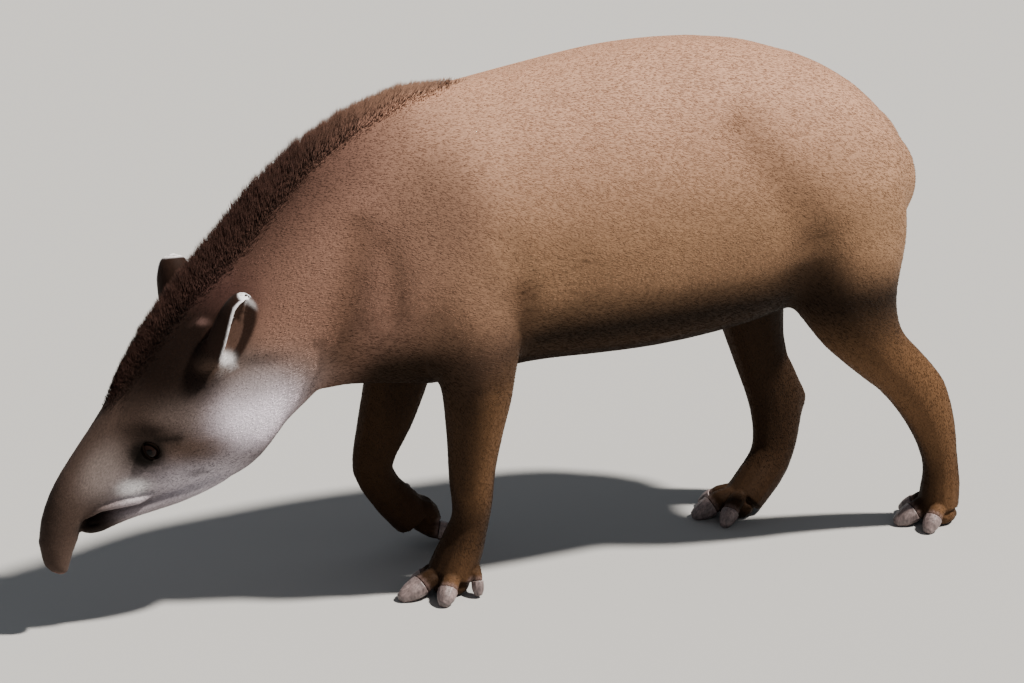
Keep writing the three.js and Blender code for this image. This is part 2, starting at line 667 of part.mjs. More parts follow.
// The short tail, hanging against the rump
const [tailX, tailZ] = TAIL_ROOT;
const tail = limbSolid(
  [
    [tailX - 36, 0, tailZ + 18, 16, 16, 24],
    [tailX + 10, 0, tailZ - 12, 16, 16, 23],
    [tailX + 46, 0, tailZ - 0.62 * TAIL_LENGTH, 13, 13, 16],
    [tailX + 60, 0, tailZ - TAIL_LENGTH, 8, 8, 9],
    [tailX + 64, 0, tailZ - 1.12 * TAIL_LENGTH, 3, 3, 3],
  ],
  3,
  14
);
addNode("tail", tail.subtract(trunkRoom), "coat");

// The origin is brought under the middle of the whole animal.
const middle = new THREE.Box3().setFromObject(tapir).getCenter(new THREE.Vector3());
tapir.position.set(-middle.x, -middle.y, 0);

export default tapir;
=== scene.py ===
"""Dresses the solids of a South American tapir: one skin, its coat and mane, its eyes, lids and hooves."""

import logging
import math
from dataclasses import dataclass
from enum import Enum

import bmesh
import bpy
import numpy as np
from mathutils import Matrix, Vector
from mathutils.kdtree import KDTree


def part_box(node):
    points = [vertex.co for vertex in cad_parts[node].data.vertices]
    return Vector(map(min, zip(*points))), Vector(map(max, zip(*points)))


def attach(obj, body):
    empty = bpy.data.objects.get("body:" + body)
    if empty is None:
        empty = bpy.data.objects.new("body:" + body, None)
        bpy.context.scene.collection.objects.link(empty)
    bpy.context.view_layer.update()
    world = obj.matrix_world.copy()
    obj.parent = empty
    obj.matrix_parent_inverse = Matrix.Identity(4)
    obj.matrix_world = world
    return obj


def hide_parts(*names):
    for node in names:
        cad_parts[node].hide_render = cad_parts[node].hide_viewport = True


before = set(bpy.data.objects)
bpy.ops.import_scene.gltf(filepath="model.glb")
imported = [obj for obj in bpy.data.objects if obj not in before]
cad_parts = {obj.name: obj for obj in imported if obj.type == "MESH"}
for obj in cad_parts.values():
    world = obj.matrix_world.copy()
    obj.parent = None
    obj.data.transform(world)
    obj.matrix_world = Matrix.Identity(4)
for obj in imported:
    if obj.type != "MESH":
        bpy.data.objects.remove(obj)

Array = np.ndarray
Spot = tuple[float, float, float]
LOG = logging.getLogger("tapir")
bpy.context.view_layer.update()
MM = 1000
MERGE_WITHIN = 2e-5
SIDES = (-1, 1)
SMOOTHING_PULLS = (0.6, -0.612)

# The animal's own frame is in millimetres, with +X to the tail and +Y to its right side.
LEFT_EYE = np.array([-714.0, -60.0, 353.0])

EARS = ("ear_left", "ear_right")
LEGS = ("foreleg_left", "foreleg_right", "hindleg_left", "hindleg_right")
FEET = ("forefoot_left", "forefoot_right", "hindfoot_left", "hindfoot_right")
FLESH = ("head", "neck", "torso", "tail", *EARS, *LEGS, *FEET)
TOES = {"fore": (2, 3, 4, 5), "hind": (2, 3, 4)}
HOOF_NAMES = [f"{limb}_{word}_{digit}" for limb in TOES for word in ("left", "right") for digit in TOES[limb]]


@dataclass(frozen=True)
class BodyFrame:
    """Turns the animal's own millimetres into the scene's metres and back."""

    shift: tuple[float, float, float]

    @classmethod
    def from_eye(cls) -> "BodyFrame":
        """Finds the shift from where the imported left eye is."""
        low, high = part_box("eye_left")
        middle = (np.array(low) + np.array(high)) / 2
        return cls(tuple(middle - LEFT_EYE / MM))

    def out(self, points: Array) -> Array:
        """Millimetres of the animal to metres of the scene."""
        return np.asarray(points, float) / MM + np.array(self.shift)

    def back(self, points: Array) -> Array:
        """Metres of the scene to millimetres of the animal."""
        return (np.asarray(points, float) - np.array(self.shift)) * MM


BODY = BodyFrame.from_eye()


def ramp(values: Array, low: float, high: float) -> Array:
    """Rises smoothly from 0 at low to 1 at high, or falls where low is the greater.

    Args:
        values: The numbers to look at.
        low: Where the rise starts.
        high: Where it ends.

    Returns:
        One share from 0 to 1 for each value.
    """
    share = np.clip((values - low) / (high - low), 0, 1)
    return share * share * (3 - 2 * share)


def unit(vectors: Array) -> Array:
    """The same directions, each of length one."""
    length = np.linalg.norm(vectors, axis=-1, keepdims=True)
    return vectors / np.maximum(length, 1e-9)


def on_left(points: Array) -> Array:
    """The points with those of the right side mirrored to the left."""
    return np.stack([points[:, 0], -np.abs(points[:, 1]), points[:, 2]], 1)


def toward(numbers: Array, other: float, share: Array) -> Array:
    """Moves each number toward another by its own share of the way."""
    return numbers + (other - numbers) * share


def mixed(colours: Array, other: Array | Spot, share: Array, strength: float = 1.0) -> Array:
    """Moves colours toward another.

    Args:
        colours: One colour, or one for each point.
        other: The colour to reach, one or one for each point.
        share: How far each point's colour moves.
        strength: A factor on all of the shares.

    Returns:
        One colour for each point.
    """
    return colours + (np.array(other) - colours) * share[:, None] * strength


def stops_along(path: Array) -> Array:
    """How far along a path each of its corners lies."""
    return np.concatenate([[0], np.cumsum(np.linalg.norm(np.diff(path, axis=0), axis=1))])


def along_path(points: Array, path: Array) -> tuple[Array, Array, Array]:
    """Finds the nearest place on a path of straight lines.

    Args:
        points: The points, one a row.
        path: The path's corners, one a row, of the same dimension.

    Returns:
        The distance to the path, the place as a share of its length, and its direction there.
    """
    best = np.full(len(points), np.inf)
    place = np.zeros(len(points))
    heading = np.zeros((len(points), path.shape[1]))
    lengths = np.linalg.norm(np.diff(path, axis=0), axis=1)
    starts = stops_along(path)
    for k, length in enumerate(lengths):
        step = (path[k + 1] - path[k]) / length
        travel = np.clip((points - path[k]) @ step, 0, length)
        distance = np.linalg.norm(points - path[k] - travel[:, None] * step, axis=1)
        closer = distance < best
        best = np.where(closer, distance, best)
        place = np.where(closer, (starts[k] + travel) / starts[-1], place)
        heading[closer] = step
    return best, place, heading


# The middle line of the trunk, [x, z], from the snout's tip to the seat.
SPINE = np.array(
    [
        (-877, 138), (-866, 196), (-843, 249), (-808, 299), (-744, 325), (-692, 361), (-633, 404),
        (-564, 461), (-498, 533), (-434, 595), (-366, 630), (-289, 651), (-193, 664), (-85, 679),
        (40, 695), (186, 703), (330, 707), (460, 705), (575, 700), (655, 698), (718, 689), (780, 688),
    ],
    float,
)
SPINE_PLACES = 80


@dataclass(frozen=True)
class CrestStation:
    """One place along the crest, which the mane grows from.

    Its values are the top's x and z, how high the back stands over its widest line, and the half width.
    """

    x: float
    z: float
    rise: float
    half: float


CREST = (
    CrestStation(-98, 955, 310, 180),
    CrestStation(-215, 938, 319, 146),
    CrestStation(-316, 900, 301, 107),
    CrestStation(-402, 852, 270, 77),
    CrestStation(-482, 786, 237, 63),
    CrestStation(-556, 708, 221, 59),
    CrestStation(-624, 636, 215, 65),
    CrestStation(-694, 556, 174, 67),
    CrestStation(-744, 484, 139, 65),
    CrestStation(-785, 412, 104, 57),
)
CREST_LINE = np.array([(one.x, one.z) for one in CREST], float)


def over_crest(points: Array) -> tuple[Array, Array, Array, Array]:
    """Measures points against the bare crest.

    Args:
        points: Millimetres of the animal.

    Returns:
        The height over the bare crest, the place along it from the withers to the brow, the way out of
        it, and how far the points lie below its top line.
    """
    flat = points[:, [0, 2]]
    _, place, heading = along_path(flat, CREST_LINE)
    lengths = stops_along(CREST_LINE)
    stops = lengths / lengths[-1]
    top = np.stack([np.interp(place, stops, CREST_LINE[:, k]) for k in (0, 1)], 1)
    rise = np.interp(place, stops, [one.rise for one in CREST])
    half = np.interp(place, stops, [one.half for one in CREST])
    outward = np.stack([heading[:, 1], -heading[:, 0]], 1)
    outward[outward[:, 1] < 0] *= -1
    bare = rise * (np.sqrt(np.clip(1 - (points[:, 1] / half) ** 2, 0, 1)) - 1)
    over = ((flat - top) * outward).sum(1)
    way = np.stack([outward[:, 0], np.zeros(len(points)), outward[:, 1]], 1)
    return over - bare, place, way, -over


@dataclass(frozen=True)
class EarForm:
    """An ear, a leaf rolled into a cup: its base, its way up and the way that its cup opens.

    The leaf reaches round the cup by a spread in degrees to each side, part of which it loses toward the
    tip. It leans out by its bow and is drawn back by its hollow, most of all above half way.
    """

    base: Spot
    up: Spot
    opens: Spot
    length: float = 138.0
    least_radius: float = 5.0
    swell: float = 28.0
    spread: float = 140.0
    spread_lost: float = 62.0
    root_wall: float = 8.0
    least_wall: float = 6.2
    bow: float = 8.0
    hollow: float = 9.0
    tip_arch: float = 4.0
    roundness: float = 1.04
    steps: int = 41
    rim: float = 6.5

    @property
    def axes(self) -> tuple[Array, Array, Array]:
        """The directions up the ear, to its front edge and out of its cup."""
        up = unit(np.array(self.up))
        opens = unit(np.array(self.opens) - up * (np.array(self.opens) @ up))
        return up, np.cross(up, opens) * math.copysign(1, self.base[1]), opens

    def profile(self, share: Array) -> tuple[Array, Array, Array, Array]:
        """The leaf's radius, its spread, its wall and its bow, at shares of its height."""
        radius = self.least_radius + self.swell * np.sin(math.pi * (0.2 + 0.79 * share) ** 1.15) ** 0.62
        spread = np.radians(self.spread - self.spread_lost * np.minimum(1, 1.5 * share))
        wall = np.maximum(self.root_wall - 4.8 * share, self.least_wall)
        return radius, spread, wall, self.bow - self.hollow * np.sin(math.pi * share * 0.8)

    def leaf(self) -> bpy.types.Mesh:
        """The closed surface of the cup."""
        up, front, opens = self.axes
        share = np.linspace(0, 1, self.steps)[:, None]
        radius, spread, wall, bow = self.profile(share)
        height = self.length * np.sin(share * math.pi / 2) ** self.roundness
        angle = np.linspace(-1, 1, self.steps)[None] * spread
        sheets = []
        for reach in (radius, radius - wall):
            rise = (height + self.tip_arch * np.cos(angle) * share)[..., None] * up
            sheets.append(rise + (reach * np.sin(angle))[..., None] * front
                          + (bow - reach * np.cos(angle))[..., None] * opens)
        rings = np.concatenate([sheets[0], sheets[1][:, ::-1]], 1) + np.array(self.base)
        levels, sides = rings.shape[:2]
        at = np.arange(levels * sides).reshape(levels, sides)
        after = np.roll(at, -1, axis=1)
        walls = np.stack([at[:-1], after[:-1], after[1:], at[1:]], 2).reshape(-1, 4)
        half = sides // 2
        ends = [
            (at[k, i], at[k, i + 1], at[k, sides - 2 - i], at[k, sides - 1 - i])
            for k in (0, levels - 1)
            for i in range(half - 1)
        ]
        return closed_mesh("leaf", rings.reshape(-1, 3), np.concatenate([walls, np.array(ends)]))

    def seen(self, points: Array) -> tuple[Array, Array, Array]:
        """Tells points of the ear by what they show.

        Args:
            points: Millimetres of the animal.

        Returns:
            The shares of being on the ear, of being on its pale rim, and of being inside the cup.
        """
        up, front, opens = self.axes
        off = points - np.array(self.base)
        climb = off @ up
        share = np.arcsin(np.clip(climb / self.length, 0, 1) ** (1 / self.roundness)) * 2 / math.pi
        radius, spread, wall, bow = self.profile(share)
        aside, ahead = off @ front, off @ opens - bow
        angle, reach = np.arctan2(aside, -ahead), np.hypot(aside, ahead)
        own = ramp(climb, 6, 24) * ramp(reach, radius + 15, radius + 8)
        border = np.minimum(self.rim, 0.3 * spread * radius)
        end = spread * radius
        edge = ramp(angle * radius, end - border, end - 0.5 * border) * ramp(climb, 10, 30)
        back_edge = ramp(-angle * radius, end - 0.8 * border, end - 0.4 * border) * ramp(climb, 108, 124)
        inside = ramp(reach, radius - 0.35 * wall, radius - 0.65 * wall)
        tip = ramp(climb, self.length - 5, self.length - 1) * (1 - inside)
        return own, np.maximum(np.maximum(edge, back_edge), tip), inside


EAR_FORMS = (
    EarForm((-603, -76, 514), (0.46, -0.30, 0.84), (0.78, -0.62, 0.0)),
    EarForm((-614, 72, 518), (0.02, 0.30, 0.95), (0.2, 0.95, -0.2)),
)


class Region:
    """Shares, from 0 to 1, of how far points belong to each part of the body."""

    BEHIND_JAW = (-522, 0, 520)
    TO_SNOUT = np.array([-0.925, 0, -0.38])
    RAISED_FOOT = (-98, 153, 60)
    RAISED_TOES = (-95, 153, 55)

    @staticmethod
    def from_eye(points: Array) -> Array:
        """How far points lie from the middle of the eye on their side, in millimetres."""
        return np.linalg.norm(on_left(points) - LEFT_EYE, axis=1)

    @staticmethod
    def head(points: Array) -> Array:
        """The head, ahead of a slanting line behind the jaw."""
        return ramp((points - Region.BEHIND_JAW) @ Region.TO_SNOUT, -50, 40)

    @staticmethod
    def trunk(points: Array) -> Array:
        """All that lies behind the neck."""
        return ramp(points[:, 0], -330, -290)

    @staticmethod
    def ear(points: Array) -> Array:
        """The ears, above their roots."""
        share = np.zeros(len(points))
        for one in EAR_FORMS:
            axis = one.axes[0]
            off = points - np.array(one.base)
            climb = off @ axis
            aside = np.linalg.norm(off - climb[:, None] * axis, axis=1)
            share = np.maximum(share, ramp(climb, 12, 34) * ramp(aside, 62, 46))
        return share

    @staticmethod
    def leg(points: Array) -> Array:
        """The legs, from the elbow and the stifle down."""
        return ramp(points[:, 2], 450, 350) * Region.trunk(points)

    @staticmethod
    def foot(points: Array) -> Array:
        """The feet, below the fetlocks."""
        low = ramp(points[:, 2], 105, 75)
        raised = np.linalg.norm(points - Region.RAISED_FOOT, axis=1)
        return np.maximum(low, ramp(raised, 95, 70)) * Region.trunk(points)

    @staticmethod
    def fine(points: Array) -> Array:
        """Where the skin keeps its smallest triangles: the eyes, the muzzle, the ears and the toes."""
        eye = ramp(Region.from_eye(points), 60, 40)
        muzzle = ramp(points[:, 0], -715, -745)
        toes = ramp(points[:, 2], 75, 55) * Region.trunk(points)
        raised = ramp(np.linalg.norm(points - Region.RAISED_TOES, axis=1), 85, 65)
        return np.max([eye, muzzle, toes, raised, Region.ear(points) * 1.5], axis=0)

    @staticmethod
    def face_front(points: Array) -> Array:
        """The muzzle and the proboscis."""
        return ramp(points[:, 0], -735, -790)


@dataclass(frozen=True)
class Patch:
    """A patch of colour on both sides: its middle, half sizes, colour, strength and how firm its edge is."""

    middle: Spot
    sizes: Spot
    colour: Spot
    strength: float = 1.0
    edge: float = 1.4

    def share(self, points: Array) -> Array:
        """How much of the patch each point shows, from 0 to 1."""
        off = (on_left(points) - self.middle) / self.sizes
        return self.strength * np.exp(-((off**2).sum(1) ** self.edge))


@dataclass(frozen=True)
class Streak:
    """A soft band of colour on both sides, along a path, of one half width and strength."""

    path: tuple[Spot, ...]
    width: float
    colour: Spot
    strength: float

    def share(self, points: Array) -> Array:
        """How much of the streak each point shows, from 0 to 1."""
        distance, place, _ = along_path(on_left(points), np.array(self.path, float))
        ends = self.strength * ramp(place, 0, 0.15) * ramp(place, 1, 0.85)
        return ends * np.exp(-((distance / self.width) ** 2))


@dataclass(frozen=True)
class CoatColours:
    """The coat's colours, as plain shares of red, green and blue light sent back, with light and shade
    painted into some.
    """

    flank: Spot = (0.250, 0.142, 0.080)
    # Painted highlight: the top of the trunk is made lighter than the flank, for the light falling on it from
    # above.
    back: Spot = (0.430, 0.240, 0.155)
    neck: Spot = (0.225, 0.122, 0.090)
    # Painted shade on the shoulders, which face forward, away from the light.
    shoulder_painted_shade: Spot = (0.150, 0.084, 0.056)
    # Painted shade for the creases and hollows of the body.
    shade: Spot = (0.075, 0.038, 0.020)
    # Painted shade under the trunk, much darker than the coat there really is.
    belly_painted_shade: Spot = (0.015, 0.008, 0.004)
    crest: Spot = (0.062, 0.028, 0.023)
    mane: Spot = (0.026, 0.0125, 0.0095)
    leg: Spot = (0.122, 0.062, 0.029)
    # Painted shade for the inside faces of the legs, the far legs and the front of the thigh and foreleg.
    leg_painted_shade: Spot = (0.016, 0.008, 0.004)
    face: Spot = (0.070, 0.046, 0.036)
    # Dark face tone: the coat's own dark marks, also used as painted shade on the forehead and down the
    # snout's front.
    dark_face_and_shade: Spot = (0.009, 0.0045, 0.003)
    brown: Spot = (0.105, 0.064, 0.046)
    pale: Spot = (0.880, 0.790, 0.880)
    jaw: Spot = (0.480, 0.430, 0.470)
    grey: Spot = (0.215, 0.175, 0.160)
    # Painted shade: near black on the backs of both ears, though they are brown where lit.
    ear_back_shade: Spot = (0.020, 0.010, 0.007)
    ear_inside: Spot = (0.080, 0.045, 0.033)
    white: Spot = (0.800, 0.770, 0.780)
    # Dark bare skin round the eyes and on the lids, also used as painted shade in a crease by the eye and
    # under the upper lip.
    dark_skin_and_shade: Spot = (0.006, 0.004, 0.003)
    pink: Spot = (0.330, 0.190, 0.165)
    coronet: Spot = (0.150, 0.100, 0.088)


@dataclass(frozen=True)
class CoatMap:
    """What the coat is like at any place: its markings, with light and shade painted into them, its lie and
    its depth.
    """

    colours: CoatColours = CoatColours()
    MANE_DARK_FROM = 0.42
    DOWN = np.array([0.0, 0.0, -1.0])
    SIDE_DROP = 0.34
    LEG_LEAN = (0.22, 0, 0)

    def patches(self) -> "tuple[Patch | Streak, ...]":
        """The markings of the head and body, with painted light and shade among them, painted one over
        another.
        """
        c = self.colours
        return (
            # Painted shade in the creases where the neck meets the shoulders.
            Streak(((-330, -118, 790), (-352, -138, 660), (-374, -136, 560), (-366, -104, 440)),
                   34, c.shade, 0.6),
            Streak(((-306, -140, 740), (-284, -160, 666), (-277, -163, 560)), 22, c.shade, 0.35),
            # Painted shade on the shoulders and the upper arm.
            Patch((-200, -150, 760), (95, 90, 125), c.shoulder_painted_shade, 0.75),
            Patch((-120, -190, 560), (80, 60, 120), c.shoulder_painted_shade, 0.5),
            # Painted shade in the crease behind the elbow.
            Streak(((-62, -176, 640), (-46, -192, 580), (-34, -184, 510), (-60, -150, 430)),
                   24, c.shade, 0.7),
            # Painted shade in the hollow in front of the hip.
            Streak(((350, -150, 905), (405, -191, 821), (458, -209, 745), (500, -206, 668), (530, -196, 590)),
                   40, c.shade, 0.42),
            # Painted shade on the front of the thigh.
            Patch((522, -190, 545), (75, 60, 95), c.leg_painted_shade, 0.85),
            Patch((-590, -40, 610), (115, 80, 66), c.crest, 0.9),
            Patch((-462, -95, 440), (80, 90, 84), c.grey, 0.6),
            Patch((-800, -58, 318), (54, 32, 60), c.grey, 0.8),
            Patch((-518, -90, 398), (88, 84, 74), c.pale, 1.0),
            Patch((-540, -90, 470), (64, 60, 44), c.grey, 0.55),
            # The pale jaw, made lighter underneath as painted light from below.
            Patch((-620, -54, 276), (128, 74, 54), c.jaw, 0.95),
            Patch((-735, -30, 236), (52, 52, 34), c.jaw, 0.45),
            Patch((-632, -84, 352), (60, 42, 28), c.brown, 0.7),
            Patch((-655, -70, 420), (56, 46, 40), c.grey, 0.35),
            # The dark forehead and brow: their own dark coat, deepened by painted shade, as the forehead
            # faces forward, away from the light.
            Patch((-694, -44, 506), (90, 74, 98), c.dark_face_and_shade, 1.0),
            Patch((-640, -60, 556), (76, 64, 84), c.dark_face_and_shade, 0.97),
            Patch((-625, -82, 486), (40, 40, 44), c.dark_face_and_shade, 0.85),
            Patch((-650, -52, 515), (76, 56, 66), c.dark_face_and_shade, 0.9),
            Patch((-585, -94, 505), (46, 36, 20), c.brown, 0.5),
            Patch((-512, -107, 510), (44, 40, 12), c.dark_face_and_shade, 0.5),
            Patch((-744, -50, 281), (27, 30, 19), c.white, 1.0),
            Patch((-627, -66, 298), (24, 30, 9), c.dark_face_and_shade, 0.5),
            Patch((-722, -66, 390), (50, 44, 19), c.dark_face_and_shade, 0.65),
            # Painted shade in the crease that runs back from above the eye.
            Streak(((-714, -77, 371), (-692, -81, 372), (-656, -87, 374)), 9, c.dark_skin_and_shade, 0.95),
            # The dark skin round the eye, deepened by painted shade from the brow.
            Patch((-722, -72, 348), (46, 44, 42), c.dark_skin_and_shade, 0.7),
            Patch((-721, -66, 349), (31, 44, 26), c.dark_skin_and_shade, 1.0, 3.0),
            # Painted shade under the overhanging upper lip.
            Patch((-806, -12, 206), (46, 44, 24), c.dark_skin_and_shade, 0.95),
            # Painted shade down the front of the snout.
            Patch((-890, 0, 240), (30, 34, 130), c.dark_face_and_shade, 0.65),
            Patch((-872, 0, 117), (20, 26, 7), c.pink, 0.6),
        )

    def legs(self, points: Array, colour: Array) -> Array:
        """Darkens the legs to their reddish brown, and paints shade on them, deepest on the inside faces, the
        far legs and the near foreleg's front.
        """
        c = self.colours
        leg = ramp(points[:, 2], 520, 330) * Region.trunk(points)
        # Painted shade on the inside faces, the front of the near foreleg and the far legs.
        shaded_side = ramp(np.abs(points[:, 1]), 142, 96)
        fore = ramp(points[:, 0], -100, -150) * ramp(points[:, 1], 10, -10) * ramp(points[:, 2], 130, 220)
        shaded_side = np.maximum(shaded_side, np.maximum(fore, ramp(points[:, 1], 0, 20)) * 0.9)
        return mixed(colour, mixed(np.array(c.leg), c.leg_painted_shade, shaded_side, 0.92), leg)

    def ears(self, points: Array, colour: Array) -> Array:
        """Gives each ear its back, near black with painted shade, its brown cup and white rim, with a white
        tuft at the root.
        """
        c = self.colours
        for one in EAR_FORMS:
            own, rim, inside = one.seen(points)
            tone = mixed(np.array(c.ear_back_shade), c.ear_inside, inside)
            colour = mixed(colour, mixed(tone, c.white, rim), own)
        for patch in (
            Patch((-576, -92, 514), (14, 18, 14), c.white, 0.95),
            # A pink patch at the ear's root: bare pink skin, and partly a painted highlight on the ear's lit
            # edge.
            Patch((-610, -60, 578), (13, 16, 7), c.pink, 0.3),
        ):
            colour = mixed(colour, patch.colour, patch.share(points))
        return colour

    def toes(self, points: Array, colour: Array) -> Array:
        """Bares the pinkish skin round the top of each hoof."""
        low = np.flatnonzero(Region.foot(points) > 0.05)
        near = np.array([HOOF_TREE.find(spot)[2] for spot in BODY.out(points[low])]) * MM
        share = np.zeros(len(points))
        share[low] = ramp(near, 13, 3) * 0.75
        return mixed(colour, self.colours.coronet, share)

    def colour(self, points: Array) -> Array:
        """The coat's colour, with light and shade painted in.

        Args:
            points: Millimetres of the animal.

        Returns:
            Red, green and blue for each point.
        """
        c = self.colours
        spine_height = np.interp(points[:, 0], SPINE[:, 0], SPINE[:, 1])
        above = points[:, 2] - spine_height
        # Painted highlight: the coat grows lighter up the back.
        colour = mixed(np.array(c.flank), c.back, ramp(above, -60, 240))
        colour = mixed(colour, c.neck, ramp(points[:, 0], -60, -330), 0.85)
        # Painted shade: the lower flank and the underside grow near black.
        colour = mixed(colour, c.belly_painted_shade, ramp(above, -88, -195) * ramp(points[:, 0], -440, -280))
        height, place, _, below = over_crest(points)
        colour = mixed(colour, c.crest, np.exp(-((below / 80) ** 2)) * ramp(place, 0.05, 0.4), 0.55)
        near = np.exp(-((below / 84) ** 2)) * ramp(place, 0.1, 0.5)
        colour = mixed(colour, np.array(c.mane) * 1.3, near, 0.85)
        colour = mixed(colour, c.face, Region.head(points), 0.9)
        colour = self.legs(points, colour)
        for patch in self.patches():
            colour = mixed(colour, patch.colour, patch.share(points))
        mane = self.mane_share(points, height, place) * ramp(place, 0.02, self.MANE_DARK_FROM)
        colour = mixed(colour, c.mane, mane)
        return self.toes(points, self.ears(points, colour))

    @staticmethod
    def mane_share(points: Array, height: Array, place: Array) -> Array:
        """How thickly the mane grows: most along its middle row, less to its edges and its ends."""
        near = ramp(np.abs(points[:, 1]), 44, 3) ** 1.3 * ramp(height, -18, -9)
        return near * ramp(place, 0.0, 0.16) * ramp(place, 1.0, 0.9)

    @staticmethod
    def lie(points: Array, normals: Array) -> Array:
        """The way that the hair lies, from nose to tail and down the sides and the legs.

        Args:
            points: Millimetres of the animal.
            normals: The ways out of the skin.

        Returns:
            One direction in the surface for each point.
        """
        _, _, heading = along_path(points[:, [0, 2]], SPINE)
        back = np.stack([heading[:, 0], np.zeros(len(points)), heading[:, 1]], 1)
        side = ramp(np.abs(normals[:, 1]), 0.2, 0.9)[:, None]
        way = back + CoatMap.DOWN * side * CoatMap.SIDE_DROP
        leg = Region.leg(points)[:, None]
        way = way * (1 - leg) + (CoatMap.DOWN + CoatMap.LEG_LEAN) * leg
        ear = Region.ear(points)[:, None]
        for one in EAR_FORMS:
            own = ear * (np.sign(points[:, 1:2]) == np.sign(one.base[1]))
            way = way * (1 - own) + one.axes[0] * own
        way = way - normals * (way * normals).sum(1, keepdims=True)
        return unit(way)

    @staticmethod
    def depth(points: Array) -> Array:
        """How thick the coat lies over the skin, in millimetres."""
        on_trunk, on_head, on_legs, on_ends = 3.0, 1.0, 1.8, 0.5
        deep = toward(np.full(len(points), on_trunk), on_head, Region.head(points))
        deep = toward(deep, on_legs, Region.leg(points))
        return toward(deep, on_ends, np.maximum(Region.foot(points), Region.ear(points)))

    @staticmethod
    def unwrap(points: Array, normals: Array) -> Array:
        """Lays the skin out flat by its own shape: round and along the trunk, each leg and each ear.

        The trunk takes the upper part of the square, the legs a row under it, and the ears the row's end.

        Args:
            points: Millimetres of the animal.
            normals: The ways out of the skin.

        Returns:
            A place in the unit square for each point.
        """
        _, place, heading = along_path(points[:, [0, 2]], SPINE)
        stops = np.linspace(0, 1, SPINE_PLACES)
        centre = np.stack([np.interp(place, stops, line) for line in spine_points().T], 1)
        up = (points[:, 0] - centre[:, 0]) * -heading[:, 1] + (points[:, 2] - centre[:, 1]) * heading[:, 0]
        turn = np.arctan2(points[:, 1], up) / (2 * math.pi) + 0.5
        edge = 0.02
        uv = np.stack([edge + 0.96 * place, 0.42 + 0.56 * turn], 1)
        leg = points[:, 2] < np.where(points[:, 0] > 420, 440, 400)
        leg &= points[:, 0] > -310
        facing = np.arctan2(normals[:, 1], normals[:, 0]) / (2 * math.pi) + 0.5
        for k, (front, side) in enumerate(((True, -1), (True, 1), (False, -1), (False, 1))):
            own = leg & ((points[:, 0] < 260) == front) & (np.sign(points[:, 1]) == side)
            uv[own] = np.stack([edge + 0.2 * k + 0.18 * facing[own], edge + 0.36 * points[own, 2] / 450], 1)
        ear = Region.ear(points) > 0.5
        for side, low in zip(SIDES, (edge, 0.21)):
            own = ear & (np.sign(points[:, 1]) == side)
            height = np.clip((points[own, 2] - 520) / 150, 0, 1)
            uv[own] = np.stack([0.83 + 0.15 * facing[own], low + 0.16 * height], 1)
        return uv


def spine_points() -> Array:
    """The spine as evenly spaced places."""
    lengths = stops_along(SPINE)
    stops = np.linspace(0, lengths[-1], SPINE_PLACES)
    return np.stack([np.interp(stops, lengths, SPINE[:, k]) for k in (0, 1)], 1)


COAT = CoatMap()


def hoof_tree() -> KDTree:
    """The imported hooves' corners, for telling how near the skin is to a hoof."""
    corners = [points_of(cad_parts[f"hoof_{name}"].data) for name in HOOF_NAMES]
    spots = np.concatenate(corners)
    tree = KDTree(len(spots))
    for k, spot in enumerate(spots):
        tree.insert(spot, k)
    tree.balance()
    return tree


def mesh_of(name: str, points: Array, faces: Array, smooth: bool = True) -> bpy.types.Mesh:
    """Makes a mesh from arrays.

    Args:
        name: The mesh's name.
        points: Metres of the scene.
        faces: Corner numbers, one face a row.
        smooth: Whether the faces are shaded smooth.

    Returns:
        The mesh.
    """
    mesh = bpy.data.meshes.new(name)
    mesh.vertices.add(len(points))
    mesh.vertices.foreach_set("co", np.ascontiguousarray(points, np.float32).ravel())
    mesh.loops.add(faces.size)
    mesh.loops.foreach_set("vertex_index", np.ascontiguousarray(faces, np.int32).ravel())
    mesh.polygons.add(len(faces))
    mesh.polygons.foreach_set("loop_start", np.arange(0, faces.size, faces.shape[1], dtype=np.int32))
    mesh.polygons.foreach_set("use_smooth", np.full(len(faces), smooth))
    mesh.update(calc_edges=True)
    return mesh


def read(items: bpy.types.bpy_prop_collection, field: str, kind: type, width: int) -> Array:
    """Reads one field of a mesh's items.

    Args:
        items: The mesh's vertices, edges, triangles or loops.
        field: What is read.
        kind: The numbers' type.
        width: How many numbers make a row.

    Returns:
        The numbers, in rows.
    """
    flat = np.empty(len(items) * width, kind)
    items.foreach_get(field, flat)
    return flat.reshape(-1, width)


def points_of(mesh: bpy.types.Mesh) -> Array:
    """The vertices' places."""
    return read(mesh.vertices, "co", np.float32, 3).astype(float)


def move_to(mesh: bpy.types.Mesh, points: Array) -> None:
    """Moves the vertices to other places, in metres of the scene."""
    mesh.vertices.foreach_set("co", points.astype(np.float32).ravel())


def triangles_of(mesh: bpy.types.Mesh) -> Array:
    """The faces, as triangles of vertex numbers."""
    mesh.calc_loop_triangles()
    return read(mesh.loop_triangles, "vertices", np.int32, 3)


def edges_of(mesh: bpy.types.Mesh) -> Array:
    """The edges, as pairs of vertex numbers."""
    return read(mesh.edges, "vertices", np.int32, 2)


def shade_smooth(mesh: bpy.types.Mesh) -> None:
    """Shades every face smooth."""
    mesh.polygons.foreach_set("use_smooth", np.ones(len(mesh.polygons), bool))
    mesh.update()


def merged_copy(node: str) -> bmesh.types.BMesh:
    """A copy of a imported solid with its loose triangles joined."""
    shape = bmesh.new()
    shape.from_mesh(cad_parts[node].data)
    bmesh.ops.remove_doubles(shape, verts=shape.verts, dist=MERGE_WITHIN)
    return shape


def mesh_from(name: str, shape: bmesh.types.BMesh) -> bpy.types.Mesh:
    """Turns an edited shape into a mesh."""
    mesh = bpy.data.meshes.new(name)
    shape.to_mesh(mesh)
    shape.free()
    return mesh


